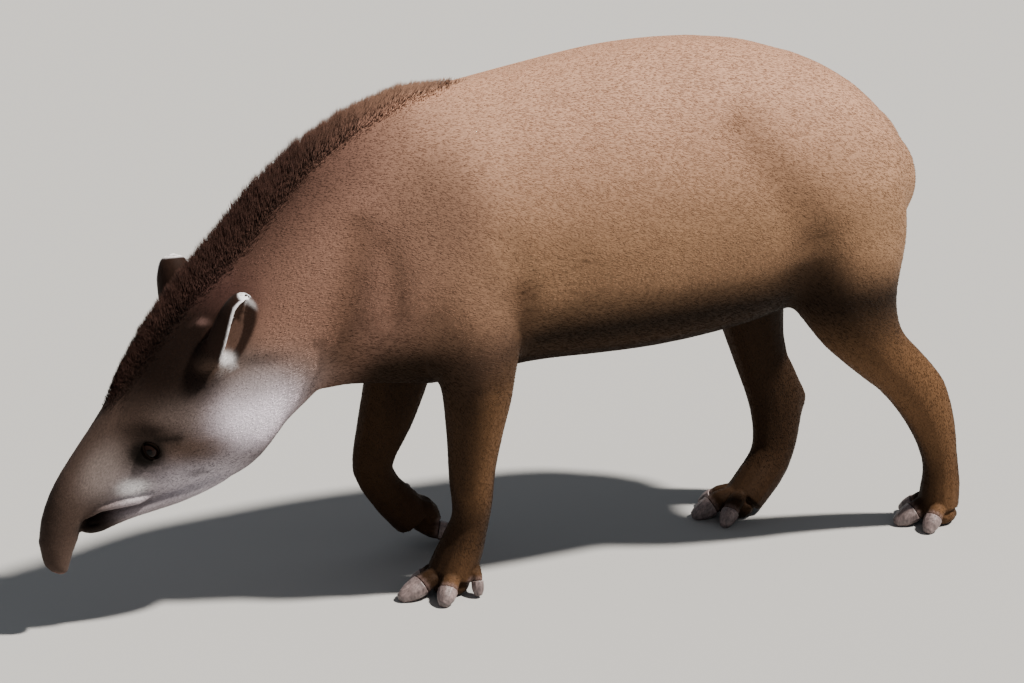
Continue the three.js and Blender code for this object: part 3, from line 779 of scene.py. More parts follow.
def placed(name: str, data: bpy.types.ID) -> bpy.types.Object:
    """Adds an object with this mesh, light or camera to the scene."""
    thing = bpy.data.objects.new(name, data)
    bpy.context.scene.collection.objects.link(thing)
    return thing


def evaluated(holder: bpy.types.Object) -> bpy.types.Mesh:
    """The mesh as the holder's modifiers leave it. The holder and its own mesh are removed."""
    before = holder.data
    made = bpy.data.meshes.new_from_object(holder.evaluated_get(bpy.context.evaluated_depsgraph_get()))
    bpy.data.objects.remove(holder)
    bpy.data.meshes.remove(before)
    return made


def remeshed(mesh: bpy.types.Mesh, voxel: float) -> bpy.types.Mesh:
    """One even, closed surface round a mesh."""
    holder = placed("holder", mesh)
    change = holder.modifiers.new("voxels", "REMESH")
    change.mode = "VOXEL"
    change.voxel_size = voxel
    return evaluated(holder)


def normals_from(points: Array, faces: Array) -> Array:
    """The way out at each vertex, from the triangles round it."""
    a, b, c = (points[faces[:, k]] for k in range(3))
    flat = np.cross(b - a, c - a)
    total = np.zeros_like(points)
    for k in range(3):
        for axis in range(3):
            total[:, axis] += np.bincount(faces[:, k], flat[:, axis], len(points))
    return unit(total)


def neighbour_mean(points: Array, edges: Array) -> Array:
    """The middle of each vertex's neighbours."""
    count = np.bincount(edges.ravel(), minlength=len(points))
    total = np.stack(
        [
            np.bincount(edges[:, 0], points[edges[:, 1], axis], len(points))
            + np.bincount(edges[:, 1], points[edges[:, 0], axis], len(points))
            for axis in range(3)
        ],
        1,
    )
    return total / np.maximum(count, 1)[:, None]


def smoothed(points: Array, edges: Array, strength: Array, rounds: int) -> Array:
    """Evens out a surface without shrinking it, by a pull in and a slightly greater push out.

    Args:
        points: The vertices.
        edges: Pairs of vertex numbers.
        strength: How much each vertex may move, from 0 to 1.
        rounds: How many times it is done.

    Returns:
        The moved vertices.
    """
    for _ in range(rounds):
        for pull in SMOOTHING_PULLS:
            points = points + (neighbour_mean(points, edges) - points) * (strength * pull)[:, None]
    return points


def largest_piece(points: Array, faces: Array) -> tuple[Array, Array]:
    """Keeps only the closed surface with the most vertices."""
    label = np.arange(len(points))
    pairs = np.concatenate([faces[:, [k, (k + 1) % faces.shape[1]]] for k in range(faces.shape[1])])
    while True:
        least = label.copy()
        np.minimum.at(least, pairs[:, 0], label[pairs[:, 1]])
        np.minimum.at(least, pairs[:, 1], label[pairs[:, 0]])
        least = least[least]
        least = least[least]
        if (least == label).all():
            break
        label = least
    keep = label == np.bincount(label).argmax()
    number = np.cumsum(keep) - 1
    return points[keep], number[faces[keep[faces[:, 0]]]]


def put(name: str, mesh: bpy.types.Mesh, material: bpy.types.Material) -> bpy.types.Object:
    """Adds a finished piece to the scene, with its finish, riding on the animal."""
    piece = placed(name, mesh)
    mesh.materials.clear()
    mesh.materials.append(material)
    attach(piece, "root")
    LOG.info("%s: %d faces", name, len(mesh.polygons))
    return piece


class Board:
    """A material's nodes, added and joined with short calls."""

    def __init__(self, name: str) -> None:
        """Starts a material with an empty shader."""
        self.material = bpy.data.materials.new(name)
        self.material.use_nodes = True
        self.tree = self.material.node_tree
        self.shader = self.tree.nodes["Principled BSDF"]

    def add(self, kind: str, inputs: dict | None = None, **settings: object) -> bpy.types.Node:
        """Adds a node.

        Args:
            kind: The node's type.
            inputs: Values or sockets for its inputs, by name or number.
            settings: Its other settings.

        Returns:
            The node.
        """
        node = self.tree.nodes.new(kind)
        for key, value in settings.items():
            setattr(node, key, value)
        for key, value in (inputs or {}).items():
            if isinstance(value, bpy.types.NodeSocket):
                self.tree.links.new(value, node.inputs[key])
            else:
                node.inputs[key].default_value = value
        return node

    def value(self, name: str, how: str, a: object, b: object, c: object = 0.0) -> bpy.types.NodeSocket:
        """A sum on up to three numbers."""
        return self.add("ShaderNodeMath", {0: a, 1: b, 2: c}, operation=how, label=name).outputs[0]

    def where(self) -> bpy.types.NodeSocket:
        """The places on the piece, in metres."""
        return self.add("ShaderNodeTexCoord").outputs["Object"]

    def noise(
        self, where: bpy.types.NodeSocket, scale: Spot, detail: float = 2.0, turn: float = 0.0
    ) -> bpy.types.NodeSocket:
        """A cloudy pattern stretched along the axes.

        Args:
            where: The coordinates it lies on.
            scale: How fine it is along each axis, in turns a metre.
            detail: How many finer layers it has.
            turn: How far its axes are turned about Y, in degrees.

        Returns:
            The socket of its strength.
        """
        mapping = self.add("ShaderNodeMapping", {"Vector": where}, vector_type="TEXTURE" if turn else "POINT")
        if turn:
            mapping.inputs["Rotation"].default_value = (0, math.radians(turn), 0)
            mapping = self.add("ShaderNodeMapping", {"Vector": mapping.outputs[0]})
        mapping.inputs["Scale"].default_value = scale
        made = self.add("ShaderNodeTexNoise", {"Vector": mapping.outputs[0], "Scale": 1.0, "Detail": detail})
        return made.outputs["Fac"]

    def mix(self, share: object, a: object, b: object) -> bpy.types.NodeSocket:
        """A number between two others."""
        return self.add("ShaderNodeMix", {0: share, 2: a, 3: b}, data_type="FLOAT").outputs[0]

    def attribute(self, name: str) -> bpy.types.Node:
        """Reads a value kept on the mesh."""
        return self.add("ShaderNodeAttribute", attribute_name=name)

    def tinted(self, colour: bpy.types.NodeSocket, factor: bpy.types.NodeSocket) -> bpy.types.NodeSocket:
        """A colour made lighter or darker."""
        return self.add("ShaderNodeVectorMath", {0: colour, "Scale": factor}, operation="SCALE").outputs[0]

    def blend(self, share: bpy.types.NodeSocket, a: Spot, b: Spot) -> bpy.types.NodeSocket:
        """A colour between two others."""
        node = self.add("ShaderNodeMix", {0: share}, data_type="RGBA")
        node.inputs[6].default_value = (*a, 1)
        node.inputs[7].default_value = (*b, 1)
        return node.outputs[2]

    def set(self, **values: object) -> None:
        """Sets the shader's inputs, or joins sockets to them, by names with _ for each space."""
        for key, value in values.items():
            socket = self.shader.inputs[key.replace("_", " ")]
            if isinstance(value, bpy.types.NodeSocket):
                self.tree.links.new(value, socket)
            else:
                socket.default_value = value

    def bump(self, height: bpy.types.NodeSocket, depth: float, strength: float) -> None:
        """Raises the surface by a pattern."""
        node = self.add("ShaderNodeBump", {"Height": height, "Distance": depth, "Strength": strength})
        self.set(Normal=node.outputs[0])


@dataclass(frozen=True)
class HairFinish:
    """The finish of hair: roughness, gloss and sheen, and the skin's grain.

    The grain's depth is in metres. Its fineness is in turns a metre, along a hair and across it.
    """

    roughness: float = 0.62
    specular: float = 0.05
    sheen: float = 0.02
    sheen_roughness: float = 0.45
    grain: float = 0.0007
    grain_strength: float = 0.55
    body_fineness: tuple[float, float] = (190, 820)
    head_fineness: tuple[float, float] = (200, 900)
    head_slope: float = -48

    def skin(self) -> bpy.types.Material:
        """The skin with its shortest hair, which is only a grain along the lie of the coat."""
        board = Board("coat_skin")
        where = board.where()
        along, across = self.body_fineness
        body = board.noise(where, (along, across, across))
        leg = board.noise(where, (across, across, along))
        along, across = self.head_fineness
        head = board.noise(where, (along, across, across), turn=self.head_slope)
        grain = board.mix(board.attribute("leg_share").outputs["Fac"], body, leg)
        grain = board.mix(board.attribute("head_share").outputs["Fac"], grain, head)
        cloud = board.noise(where, (11, 16, 16), 3.0)
        fine = board.value("speckle", "MULTIPLY_ADD", grain, 1.5, 0.25)
        shade = board.value("mottle", "MULTIPLY_ADD", cloud, 0.24, 0.88)
        factor = board.value("shade", "MULTIPLY", fine, shade)
        self.dress(board, factor)
        wrinkle = board.noise(where, (60, 60, 45), 4.0)
        height = board.value("relief", "MULTIPLY_ADD", wrinkle, 0.8, grain)
        board.bump(height, self.grain, self.grain_strength)
        return board.material

    def dress(self, board: Board, factor: bpy.types.NodeSocket) -> None:
        """Gives the shader the coat's markings, shaded by a factor, and its plain values."""
        tint = board.attribute("tint").outputs["Color"]
        board.set(
            Base_Color=board.tinted(tint, factor),
            Roughness=self.roughness,
            Specular_IOR_Level=self.specular,
            Sheen_Weight=self.sheen,
            Sheen_Roughness=self.sheen_roughness,
        )

    def tufts(self, name: str) -> bpy.types.Material:
        """Hair that stands over the skin and carries the same markings."""
        board = Board(name)
        grain = board.noise(board.where(), (420, 420, 420), 1.0)
        self.dress(board, board.value("speckle", "MULTIPLY_ADD", grain, 1.0, 0.5))
        return board.material


@dataclass(frozen=True)
class HornFinish:
    """The finish of the hooves: worn grey horn, blotched with a paler tone, with fine streaks."""

    colour: Spot = (0.085, 0.064, 0.062)
    pale: Spot = (0.290, 0.215, 0.205)
    roughness: float = 0.45
    streak_depth: float = 0.001

    def material(self) -> bpy.types.Material:
        """Makes the material."""
        board = Board("hoof_horn")
        where = board.where()
        cloud = board.noise(where, (70, 70, 70), 4.0)
        streak = board.noise(where, (260, 420, 60), 3.0)
        share = board.value("blotch", "MULTIPLY", cloud, streak)
        share = board.value("spread", "MULTIPLY_ADD", share, 3.2, -0.35)
        board.set(Base_Color=board.blend(share, self.colour, self.pale), Roughness=self.roughness)
        board.bump(streak, self.streak_depth, 0.5)
        return board.material


@dataclass(frozen=True)
class EyeFinish:
    """The finish of an eye: a dark brown iris round a black pupil under a wet surface.

    The pupil's edge lies between two turns from its middle, in radians.
    """

    iris: Spot = (0.008, 0.004, 0.003)
    pupil: Spot = (0.002, 0.002, 0.002)
    pupil_edge: tuple[float, float] = (0.28, 0.36)
    roughness: float = 0.12
    specular: float = 0.08

    def material(self) -> bpy.types.Material:
        """Makes the material, which reads how far each place is from the middle of the pupil."""
        board = Board("eye_wet")
        reach = board.attribute("from_pupil").outputs["Fac"]
        near, far = self.pupil_edge
        edge = board.add("ShaderNodeMapRange", {0: reach, 1: near, 2: far}, interpolation_type="SMOOTHSTEP")
        colour = board.blend(edge.outputs[0], self.pupil, self.iris)
        board.set(Base_Color=colour, Roughness=self.roughness, Specular_IOR_Level=self.specular)
        return board.material


HOOF_TREE = hoof_tree()


@dataclass(frozen=True)
class Fold:
    """A crease along a path on both sides of the skin, with its half width and depth in millimetres."""

    path: tuple[Spot, ...]
    width: float
    depth: float

    def distance(self, points: Array) -> tuple[Array, Array]:
        """How far points lie from the crease, and their place along it."""
        distance, place, _ = along_path(on_left(points), np.array(self.path, float))
        return distance, place

    def push(self, points: Array) -> Array:
        """How far out each point moves, which is below 0."""
        distance, place = self.distance(points)
        ends = ramp(place, 0, 0.12) * ramp(place, 1, 0.88)
        return -self.depth * ends * np.exp(-((distance / self.width) ** 2))


@dataclass(frozen=True)
class Swelling:
    """A rise on both sides of the body: its middle, half sizes and height in millimetres.

    A height below 0 makes a hollow.
    """

    middle: Spot
    sizes: Spot
    height: float

    def push(self, points: Array) -> Array:
        """How far out each point moves."""
        return self.height * np.exp(-(((on_left(points) - self.middle) / self.sizes) ** 2).sum(1))


MOUTH = Fold(((-728, -44, 241), (-757, -40, 231), (-795, -32, 218), (-824, -16, 209)), 3.4, 6.0)
FOLDS = (
    Fold(((-714, -77, 373), (-690, -81, 372), (-650, -88, 375)), 3.6, 2.4),
    Fold(((-716, -74, 391), (-686, -82, 392), (-656, -87, 398)), 3.0, 1.4),
    Fold(((-736, -66, 333), (-716, -72, 324), (-690, -74, 322)), 3.2, 1.8),
    Fold(((-744, -60, 324), (-722, -66, 313), (-696, -70, 309)), 3.2, 1.2),
    MOUTH,
    Fold(((-404, -64, 412), (-400, -104, 470), (-418, -128, 540)), 18, 4.0),
    Fold(((-436, -60, 400), (-432, -96, 450), (-446, -112, 500)), 11, 2.0),
    Fold(((-330, -118, 770), (-352, -138, 660), (-374, -136, 560), (-366, -104, 460)), 30, 8.0),
    Fold(((-300, -142, 730), (-286, -160, 640), (-284, -158, 540)), 18, 3.5),
    Fold(((-60, -176, 500), (-48, -190, 570), (-60, -190, 650), (-92, -176, 730)), 24, 5.5),
    Fold(((-190, -140, 392), (-150, -166, 414), (-104, -170, 420), (-66, -150, 412)), 11, 3.0),
    Fold(((362, -160, 885), (405, -191, 821), (458, -209, 745), (498, -206, 668), (520, -190, 600)), 44, 9.0),
    Fold(((446, -120, 440), (474, -158, 480), (500, -188, 530), (512, -200, 585)), 17, 6.0),
    Fold(((486, -130, 420), (520, -168, 458), (545, -192, 505)), 10, 2.6),
)
WRINKLES = tuple(
    Fold(
        (
            (-18 + 5 * k, -200, 700 - 17 * k),
            (28 + 6 * k, -206, 694 - 18 * k),
            (74 + 6 * k, -210, 684 - 19 * k),
        ),
        width=6.0,
        depth=1.5,
    )
    for k in range(7)
)

SWELLINGS = (
    Swelling((-600, -90, 380), (50, 40, 55), 4.0),
    Swelling((-700, -70, 402), (26, 24, 16), 4.0),
    Swelling((-668, -78, 350), (24, 20, 24), -2.5),
    Swelling((-150, -150, 800), (85, 70, 95), 6.0),
    Swelling((-150, -190, 560), (72, 60, 85), 7.0),
    Swelling((20, -205, 620), (50, 60, 120), -5.0),
    Swelling((-245, -150, 690), (42, 60, 95), 5.0),
    Swelling((610, -200, 670), (82, 60, 120), 8.0),
    Swelling((745, -160, 640), (50, 70, 90), 5.0),
    Swelling((672, -150, 770), (60, 70, 60), 4.0),
)


@dataclass
class Skin:
    """The one skin over the head, neck, trunk, tail, ears, legs and feet.

    Its voxels are in metres. The copies of the flesh are grown by the puff, in millimetres, to meet.
    """

    NAME = "tapir_skin"
    LIPS = (-785, -30, 225)
    voxel: float = 0.0028
    puff: float = 0.5
    rounds: int = 60
    blend_rounds: int = 130
    second_rounds: int = 150
    most_triangles: int = 186_000

    def gather(self) -> bpy.types.Mesh:
        """Joins the ears' leaves and grown copies of the flesh and the eyeballs."""
        copies = [self.grown(name) for name in (*FLESH, "eye_left", "eye_right")]
        whole = bmesh.new()
        for mesh in (*copies, *(one.leaf() for one in EAR_FORMS)):
            whole.from_mesh(mesh)
            bpy.data.meshes.remove(mesh)
        return mesh_from("flesh", whole)

    def grown(self, name: str) -> bpy.types.Mesh:
        """A copy of a node, a little grown, with the mane pressed in."""
        part = merged_copy(name)
        part.normal_update()
        for vertex in part.verts:
            vertex.co += vertex.normal * self.puff / MM
        mesh = mesh_from("part", part)
        points = BODY.back(points_of(mesh))
        if name in ("head", "neck", "torso"):
            points = self.press_mane(points)
        move_to(mesh, BODY.out(points))
        return mesh

    @staticmethod
    def press_mane(points: Array) -> Array:
        """Lays what stands over the bare crest down on it."""
        height, place, outward, _ = over_crest(points)
        inside = (place > 0.001) & (place < 0.999) & (height > 0) & (height < 90)
        return points - outward * (height * inside * ramp(np.abs(points[:, 1]), 46, 31))[:, None]

    def remesh(self, mesh: bpy.types.Mesh) -> tuple[Array, Array]:
        """The largest even, closed surface of four-sided faces round the joined copies."""
        made = remeshed(mesh, self.voxel)
        points = BODY.back(points_of(made))
        faces = read(made.loops, "vertex_index", np.int32, 1).reshape(-1, 4)
        bpy.data.meshes.remove(made)
        return largest_piece(points, faces)

    @staticmethod
    def softness(points: Array) -> Array:
        """How much the facets are smoothed: most on the trunk, least round the eyes, lips, ears and toes."""
        on_head, on_legs, on_ends, by_eyes, on_lips = 0.55, 0.6, 0.22, 0.25, 0.3
        soft = toward(np.ones(len(points)), on_head, Region.head(points))
        soft = toward(soft, on_legs, Region.leg(points))
        soft = toward(soft, on_ends, np.maximum(Region.foot(points), Region.ear(points)))
        soft = toward(soft, by_eyes, ramp(Region.from_eye(points), 46, 26))
        lips = np.linalg.norm((on_left(points) - Skin.LIPS) / (1, 1, 0.7), axis=1)
        return toward(soft, on_lips, ramp(lips, 70, 40))

    @staticmethod
    def joints(points: Array) -> Array:
        """How much is blended: most where the legs grow out of the trunk, a little at elbows and hocks."""

        def off(places: Array, middle: Spot, sizes: Spot) -> Array:
            """How far places lie out of an oval round the middle, squared, with 1 on its edge."""
            return (((places - middle) / sizes) ** 2).sum(1)

        seen = on_left(points)
        shoulders = off(seen, (-165, -150, 560), (215, 150, 215))
        roots = np.minimum(shoulders, off(seen, (585, -150, 630), (240, 150, 265)))
        elbows = off(seen, (-75, -125, 396), (60, 60, 60))
        hocks = [off(points, middle, (60, 60, 70)) for middle in ((815, -108, 284), (640, 117, 212))]
        knobs = np.min([elbows, *hocks], axis=0)
        return np.maximum(np.exp(-(roots**2)) * ramp(points[:, 2], 350, 440), 0.22 * np.exp(-(knobs**2)))

    @staticmethod
    def blended(points: Array, edges: Array, share: Array, rounds: int) -> Array:
        """Rounds off creases inside a part of the surface."""
        least_share, strength = 0.01, 0.9
        kept = edges[(share > least_share)[edges].any(1)]
        used, numbers = np.unique(kept, return_inverse=True)
        local, pull = points[used], (share[used] * strength)[:, None]
        pairs = numbers.reshape(-1, 2)
        for _ in range(rounds):
            local = local + (neighbour_mean(local, pairs) - local) * pull
        points = points.copy()
        points[used] = local
        return points

    @staticmethod
    def thinned(points: Array, faces: Array, most: int) -> bpy.types.Mesh:
        """Takes triangles out of the trunk and the upper legs until few enough are left."""
        holder = placed("holder", mesh_of("dense", BODY.out(points), faces))
        group = holder.vertex_groups.new(name="coarse")
        group.add(np.flatnonzero(Region.fine(points) < 0.5).tolist(), 1.0, "REPLACE")
        change = holder.modifiers.new("thin", "DECIMATE")
        change.ratio = most / (2 * len(faces))
        change.vertex_group = "coarse"
        change.vertex_group_factor = 1.0
        change.use_collapse_triangulate = True
        made = evaluated(holder)
        made.name = Skin.NAME
        return made

    @staticmethod
    def sculpt(points: Array, normals: Array) -> Array:
        """Adds the folds and the swellings of the flesh."""
        push = np.zeros(len(points))
        for form in (*FOLDS, *WRINKLES, *SWELLINGS):
            push += form.push(points)
        return points + normals * push[:, None]

    @staticmethod
    def open_eyes(points: Array) -> Array:
        """Draws the skin in behind each eyeball, under its lids."""
        margin, floor = 3.5, 4
        for side in SIDES:
            eye = Eye(side)
            off = points - eye.middle
            along, across, out = (off @ axis for axis in eye.axes)
            inside = (along / (eye.long + margin)) ** 2 + (across / (eye.high + margin)) ** 2
            share = ramp(inside, 1.25, 0.8) * (out > floor) * (np.linalg.norm(off, axis=1) < 40)
            in_plane = eye.middle + along[:, None] * eye.axes[0] + across[:, None] * eye.axes[1]
            points = points + (in_plane + floor * eye.axes[2] - points) * share[:, None]
        return points

    def build(self) -> bpy.types.Object:
        """Makes the skin.

        Returns:
            The finished piece, which stands for every node of flesh.
        """
        points, faces = self.remesh(self.gather())
        LOG.info("remeshed skin: %d faces", len(faces))
        raw = mesh_of("raw", BODY.out(points), faces)
        edges = edges_of(raw)
        bpy.data.meshes.remove(raw)
        points = smoothed(points, edges, self.softness(points), self.rounds)
        points = self.blended(points, edges, self.joints(points), self.blend_rounds)
        triangles = np.concatenate([faces[:, [0, 1, 2]], faces[:, [0, 2, 3]]])
        normals = normals_from(points, triangles)
        points = points - normals * (self.puff + COAT.depth(points))[:, None]
        mesh = self.thinned(points, faces, self.most_triangles)
        points = BODY.back(points_of(mesh))
        triangles = triangles_of(mesh)
        broad = (1 - np.minimum(Region.fine(points), 1)) * (1 - Region.ear(points))
        broad = broad * (1 - 0.6 * Region.head(points))
        broad = broad * (1 - 0.5 * Region.leg(points)) * ramp(points[:, 2], 70, 130)
        points = smoothed(points, edges_of(mesh), broad, self.second_rounds)
        points = self.sculpt(points, normals_from(points, triangles))
        points = self.open_eyes(points)
        points[:, 2] = np.maximum(points[:, 2], 0.0)
        move_to(mesh, BODY.out(points))
        shade_smooth(mesh)
        paint(mesh, COAT.colour(points))
        keep_share(mesh, "leg_share", Region.leg(points))
        keep_share(mesh, "head_share", Region.head(points))
        piece = put(self.NAME, mesh, HairFinish().skin())
        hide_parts(*FLESH)
        return piece


def paint(mesh: bpy.types.Mesh, colours: Array) -> None:
    """Keeps a colour at each vertex."""
    layer = mesh.attributes.new("tint", "FLOAT_COLOR", "POINT")
    full = np.ones((len(colours), 4), np.float32)
    full[:, :3] = np.clip(colours, 0.001, 0.95)
    layer.data.foreach_set("color", full.ravel())


def keep_share(mesh: bpy.types.Mesh, name: str, shares: Array) -> None:
    """Keeps a number at each vertex."""
    layer = mesh.attributes.new(name, "FLOAT", "POINT")
    layer.data.foreach_set("value", np.ascontiguousarray(shares, np.float32))


@dataclass(frozen=True)
class Ground:
    """The finished skin as the hair sees it: its corners, its triangles and the ways out at the corners."""

    points: Array
    triangles: Array
    normals: Array

    @classmethod
    def of(cls, piece: bpy.types.Object) -> "Ground":
        """Reads the skin."""
        points = BODY.back(points_of(piece.data))
        triangles = triangles_of(piece.data)
        return cls(points, triangles, normals_from(points, triangles))

    def scatter(self, draw: np.random.Generator, density: Array, count: int) -> tuple[Array, Array]:
        """Picks places at random.

        Args:
            draw: The seeded source of chance.
            density: How thickly they lie at each vertex.
            count: How many are wanted.

        Returns:
            The places and the ways out of the skin there.
        """
        a, b, c = (self.points[self.triangles[:, k]] for k in range(3))
        area = np.linalg.norm(np.cross(b - a, c - a), axis=1)
        weight = area * density[self.triangles].mean(1)
        chosen = self.triangles[draw.choice(len(weight), count, p=weight / weight.sum())]
        u, v = draw.random(count), draw.random(count)
        over = u + v > 1
        u, v = np.where(over, 1 - u, u), np.where(over, 1 - v, v)
        shares = np.stack([1 - u - v, u, v], 1)
        places = (self.points[chosen] * shares[:, :, None]).sum(1)
        outward = unit((self.normals[chosen] * shares[:, :, None]).sum(1))
        return places, outward


@dataclass(frozen=True)
class TuftShape:
    """The sizes of a tuft, in millimetres: length, half width, thickness, and its middle's and tip's height.

    Its length varies by a share either way.
    """

    length: float
    half: float
    thick: float
    middle_up: float
    tip_up: float
    vary: float = 0.25


@dataclass(frozen=True)
class Spindles:
    """Many closed tufts: each runs from a sunk root over a three-cornered middle to its tip.

    The middle lies at one share of the length, the same for all.
    """

    FACES = np.array([(0, 2, 1), (0, 3, 2), (0, 1, 3), (4, 1, 2), (4, 2, 3), (4, 3, 1)])
    CORNERS = 5
    MIDDLE_AT = 0.42
    OFF_FLOOR = 0.3
    roots: Array
    middles: Array
    tips: Array
    outward: Array
    half: Array
    thick: float
    tints: Array

    def piece(self, name: str, finish: bpy.types.Material, shades: Spot, places: Array) -> bpy.types.Object:
        """Makes the finished piece.

        Args:
            name: The piece's name.
            finish: The material.
            shades: How light the root, the middle and the tip are.
            places: Each tuft's place in the flat map.

        Returns:
            The finished piece.
        """
        side = unit(np.cross(self.outward, self.tips - self.roots)) * self.half[:, None]
        corners = np.stack(
            [
                self.roots,
                self.middles - side,
                self.middles + side,
                self.middles + self.outward * self.thick,
                self.tips,
            ],
            1,
        )
        corners[:, :, 2] = np.maximum(corners[:, :, 2], self.OFF_FLOOR)
        firsts = np.arange(len(self.roots)) * self.CORNERS
        faces = (firsts[:, None, None] + self.FACES[None]).reshape(-1, 3)
        mesh = mesh_of(name, BODY.out(corners.reshape(-1, 3)), faces)
        shade = np.array(shades)[[0, 1, 1, 1, 2]][None, :, None]
        paint(mesh, (self.tints[:, None, :] * shade).reshape(-1, 3))
        self.lay_patches(mesh, places)
        piece = put(name, mesh, finish)
        return piece

    def lay_patches(self, mesh: bpy.types.Mesh, places: Array, patch: float = 0.003) -> None:
        """Gives each tuft a small patch of the flat map, at its root's place.

        Args:
            mesh: The joined tufts.
            places: The roots' places in the unit square.
            patch: How wide a patch is.
        """
        turns = np.linspace(0, 2 * math.pi, self.CORNERS, endpoint=False)
        local = patch / 2 * np.stack([np.cos(turns), np.sin(turns)], 1)
        flat = places[:, None, :] + local[self.FACES.ravel()][None]
        layer = mesh.uv_layers.new(name="OFBake")
        layer.data.foreach_set("uv", np.clip(flat, 0, 1).astype(np.float32).ravel())


def speckled(draw: np.random.Generator, colours: Array, spread: float = 0.1) -> Array:
    """Makes each tuft a little lighter or darker than its place."""
    return colours * np.exp(draw.normal(0, spread, len(colours)))[:, None]


class CoatPart(Enum):
    """The pieces that the short coat is made in, each with its seed. The left ones are odd."""

    FORE_LEFT = 1
    FORE_RIGHT = 2
    MIDDLE_LEFT = 3
    MIDDLE_RIGHT = 4
    REAR_LEFT = 5
    REAR_RIGHT = 6
    FACE = 7

    def share(self, points: Array) -> Array:
        """Which vertices of the skin the piece covers."""
        head = Region.head(points)
        if self is CoatPart.FACE:
            return head
        side = points[:, 1] < 0 if self.value % 2 else points[:, 1] >= 0
        behind_shoulder, behind_flank, beyond = -60, 420, 2000
        ends = (-beyond, behind_shoulder, behind_flank, beyond)
        band = (self.value - 1) // 2
        return (1 - head) * side * (points[:, 0] >= ends[band]) * (points[:, 0] < ends[band + 1])


@dataclass
class ShortCoat:
    """The short hair over the whole body.

    Each part has one count of tufts. Their shades are those of the root, the middle and the tip: darker at
    the root, and lighter at the tip as a painted highlight.
    """

    body: TuftShape = TuftShape(9.5, 0.40, 0.25, 0.4, 0.55)
    face: TuftShape = TuftShape(5.5, 0.32, 0.22, 0.3, 0.45)
    count: int = 31_000
    shades: Spot = (0.86, 1.0, 1.24)
    sunk: float = 0.8

    def build(self, ground: Ground) -> None:
        """Makes every part of the coat."""
        finish = HairFinish().tufts("coat_hair")
        bare = self.bare(ground.points)
        for part in CoatPart:
            draw = np.random.default_rng(part.value)
            density = part.share(ground.points) * bare * (1 + 0.6 * Region.leg(ground.points))
            roots, outward = ground.scatter(draw, density, self.count)
            self.lay(part, roots, outward, draw, finish)

    def lay(
        self,
        part: CoatPart,
        roots: Array,
        outward: Array,
        draw: np.random.Generator,
        finish: bpy.types.Material,
    ) -> None:
        """Lays one part's tufts down along the body.

        Args:
            part: The part.
            roots: Where the tufts grow, in millimetres of the animal.
            outward: The ways out of the skin.
            draw: The seeded source of chance.
            finish: The material.
        """
        shape = self.face if part is CoatPart.FACE else self.body
        count = len(roots)
        small = 1 - 0.35 * Region.leg(roots)
        small = small * (1 - 0.35 * Region.face_front(roots)) * (1 - 0.4 * Region.foot(roots))
        small = small * (1 - 0.6 * Region.ear(roots))
        length = shape.length * small * draw.uniform(1 - shape.vary, 1 + shape.vary, count)
        way = COAT.lie(roots, outward)
        side = unit(np.cross(outward, way))
        ahead = unit(way + side * draw.normal(0, 0.07, count)[:, None])
        lift = (draw.uniform(0.6, 1.3, count) * small)[:, None]
        Spindles(
            roots=roots - outward * self.sunk,
            middles=roots + ahead * (Spindles.MIDDLE_AT * length)[:, None] + outward * shape.middle_up * lift,
            tips=roots + ahead * length[:, None] + outward * shape.tip_up * lift,
            outward=outward,
            half=shape.half * draw.uniform(0.7, 1.25, count) * (1 - 0.3 * Region.ear(roots)),
            thick=shape.thick,
            tints=speckled(draw, COAT.colour(roots)),
        ).piece(f"coat_{part.name.lower()}", finish, self.shades, COAT.unwrap(roots, outward))

    @staticmethod
    def bare(points: Array) -> Array:
        """Leaves out the eyes, the mouth, the nostrils and the soles."""
        eye = ramp(Region.from_eye(points), 24, 34)
        mouth, _ = MOUTH.distance(points)
        nose = np.linalg.norm(points - (-874, 0, 120), axis=1)
        return eye * ramp(mouth, 5, 11) * ramp(nose, 22, 34) * ramp(points[:, 2], 3, 14)


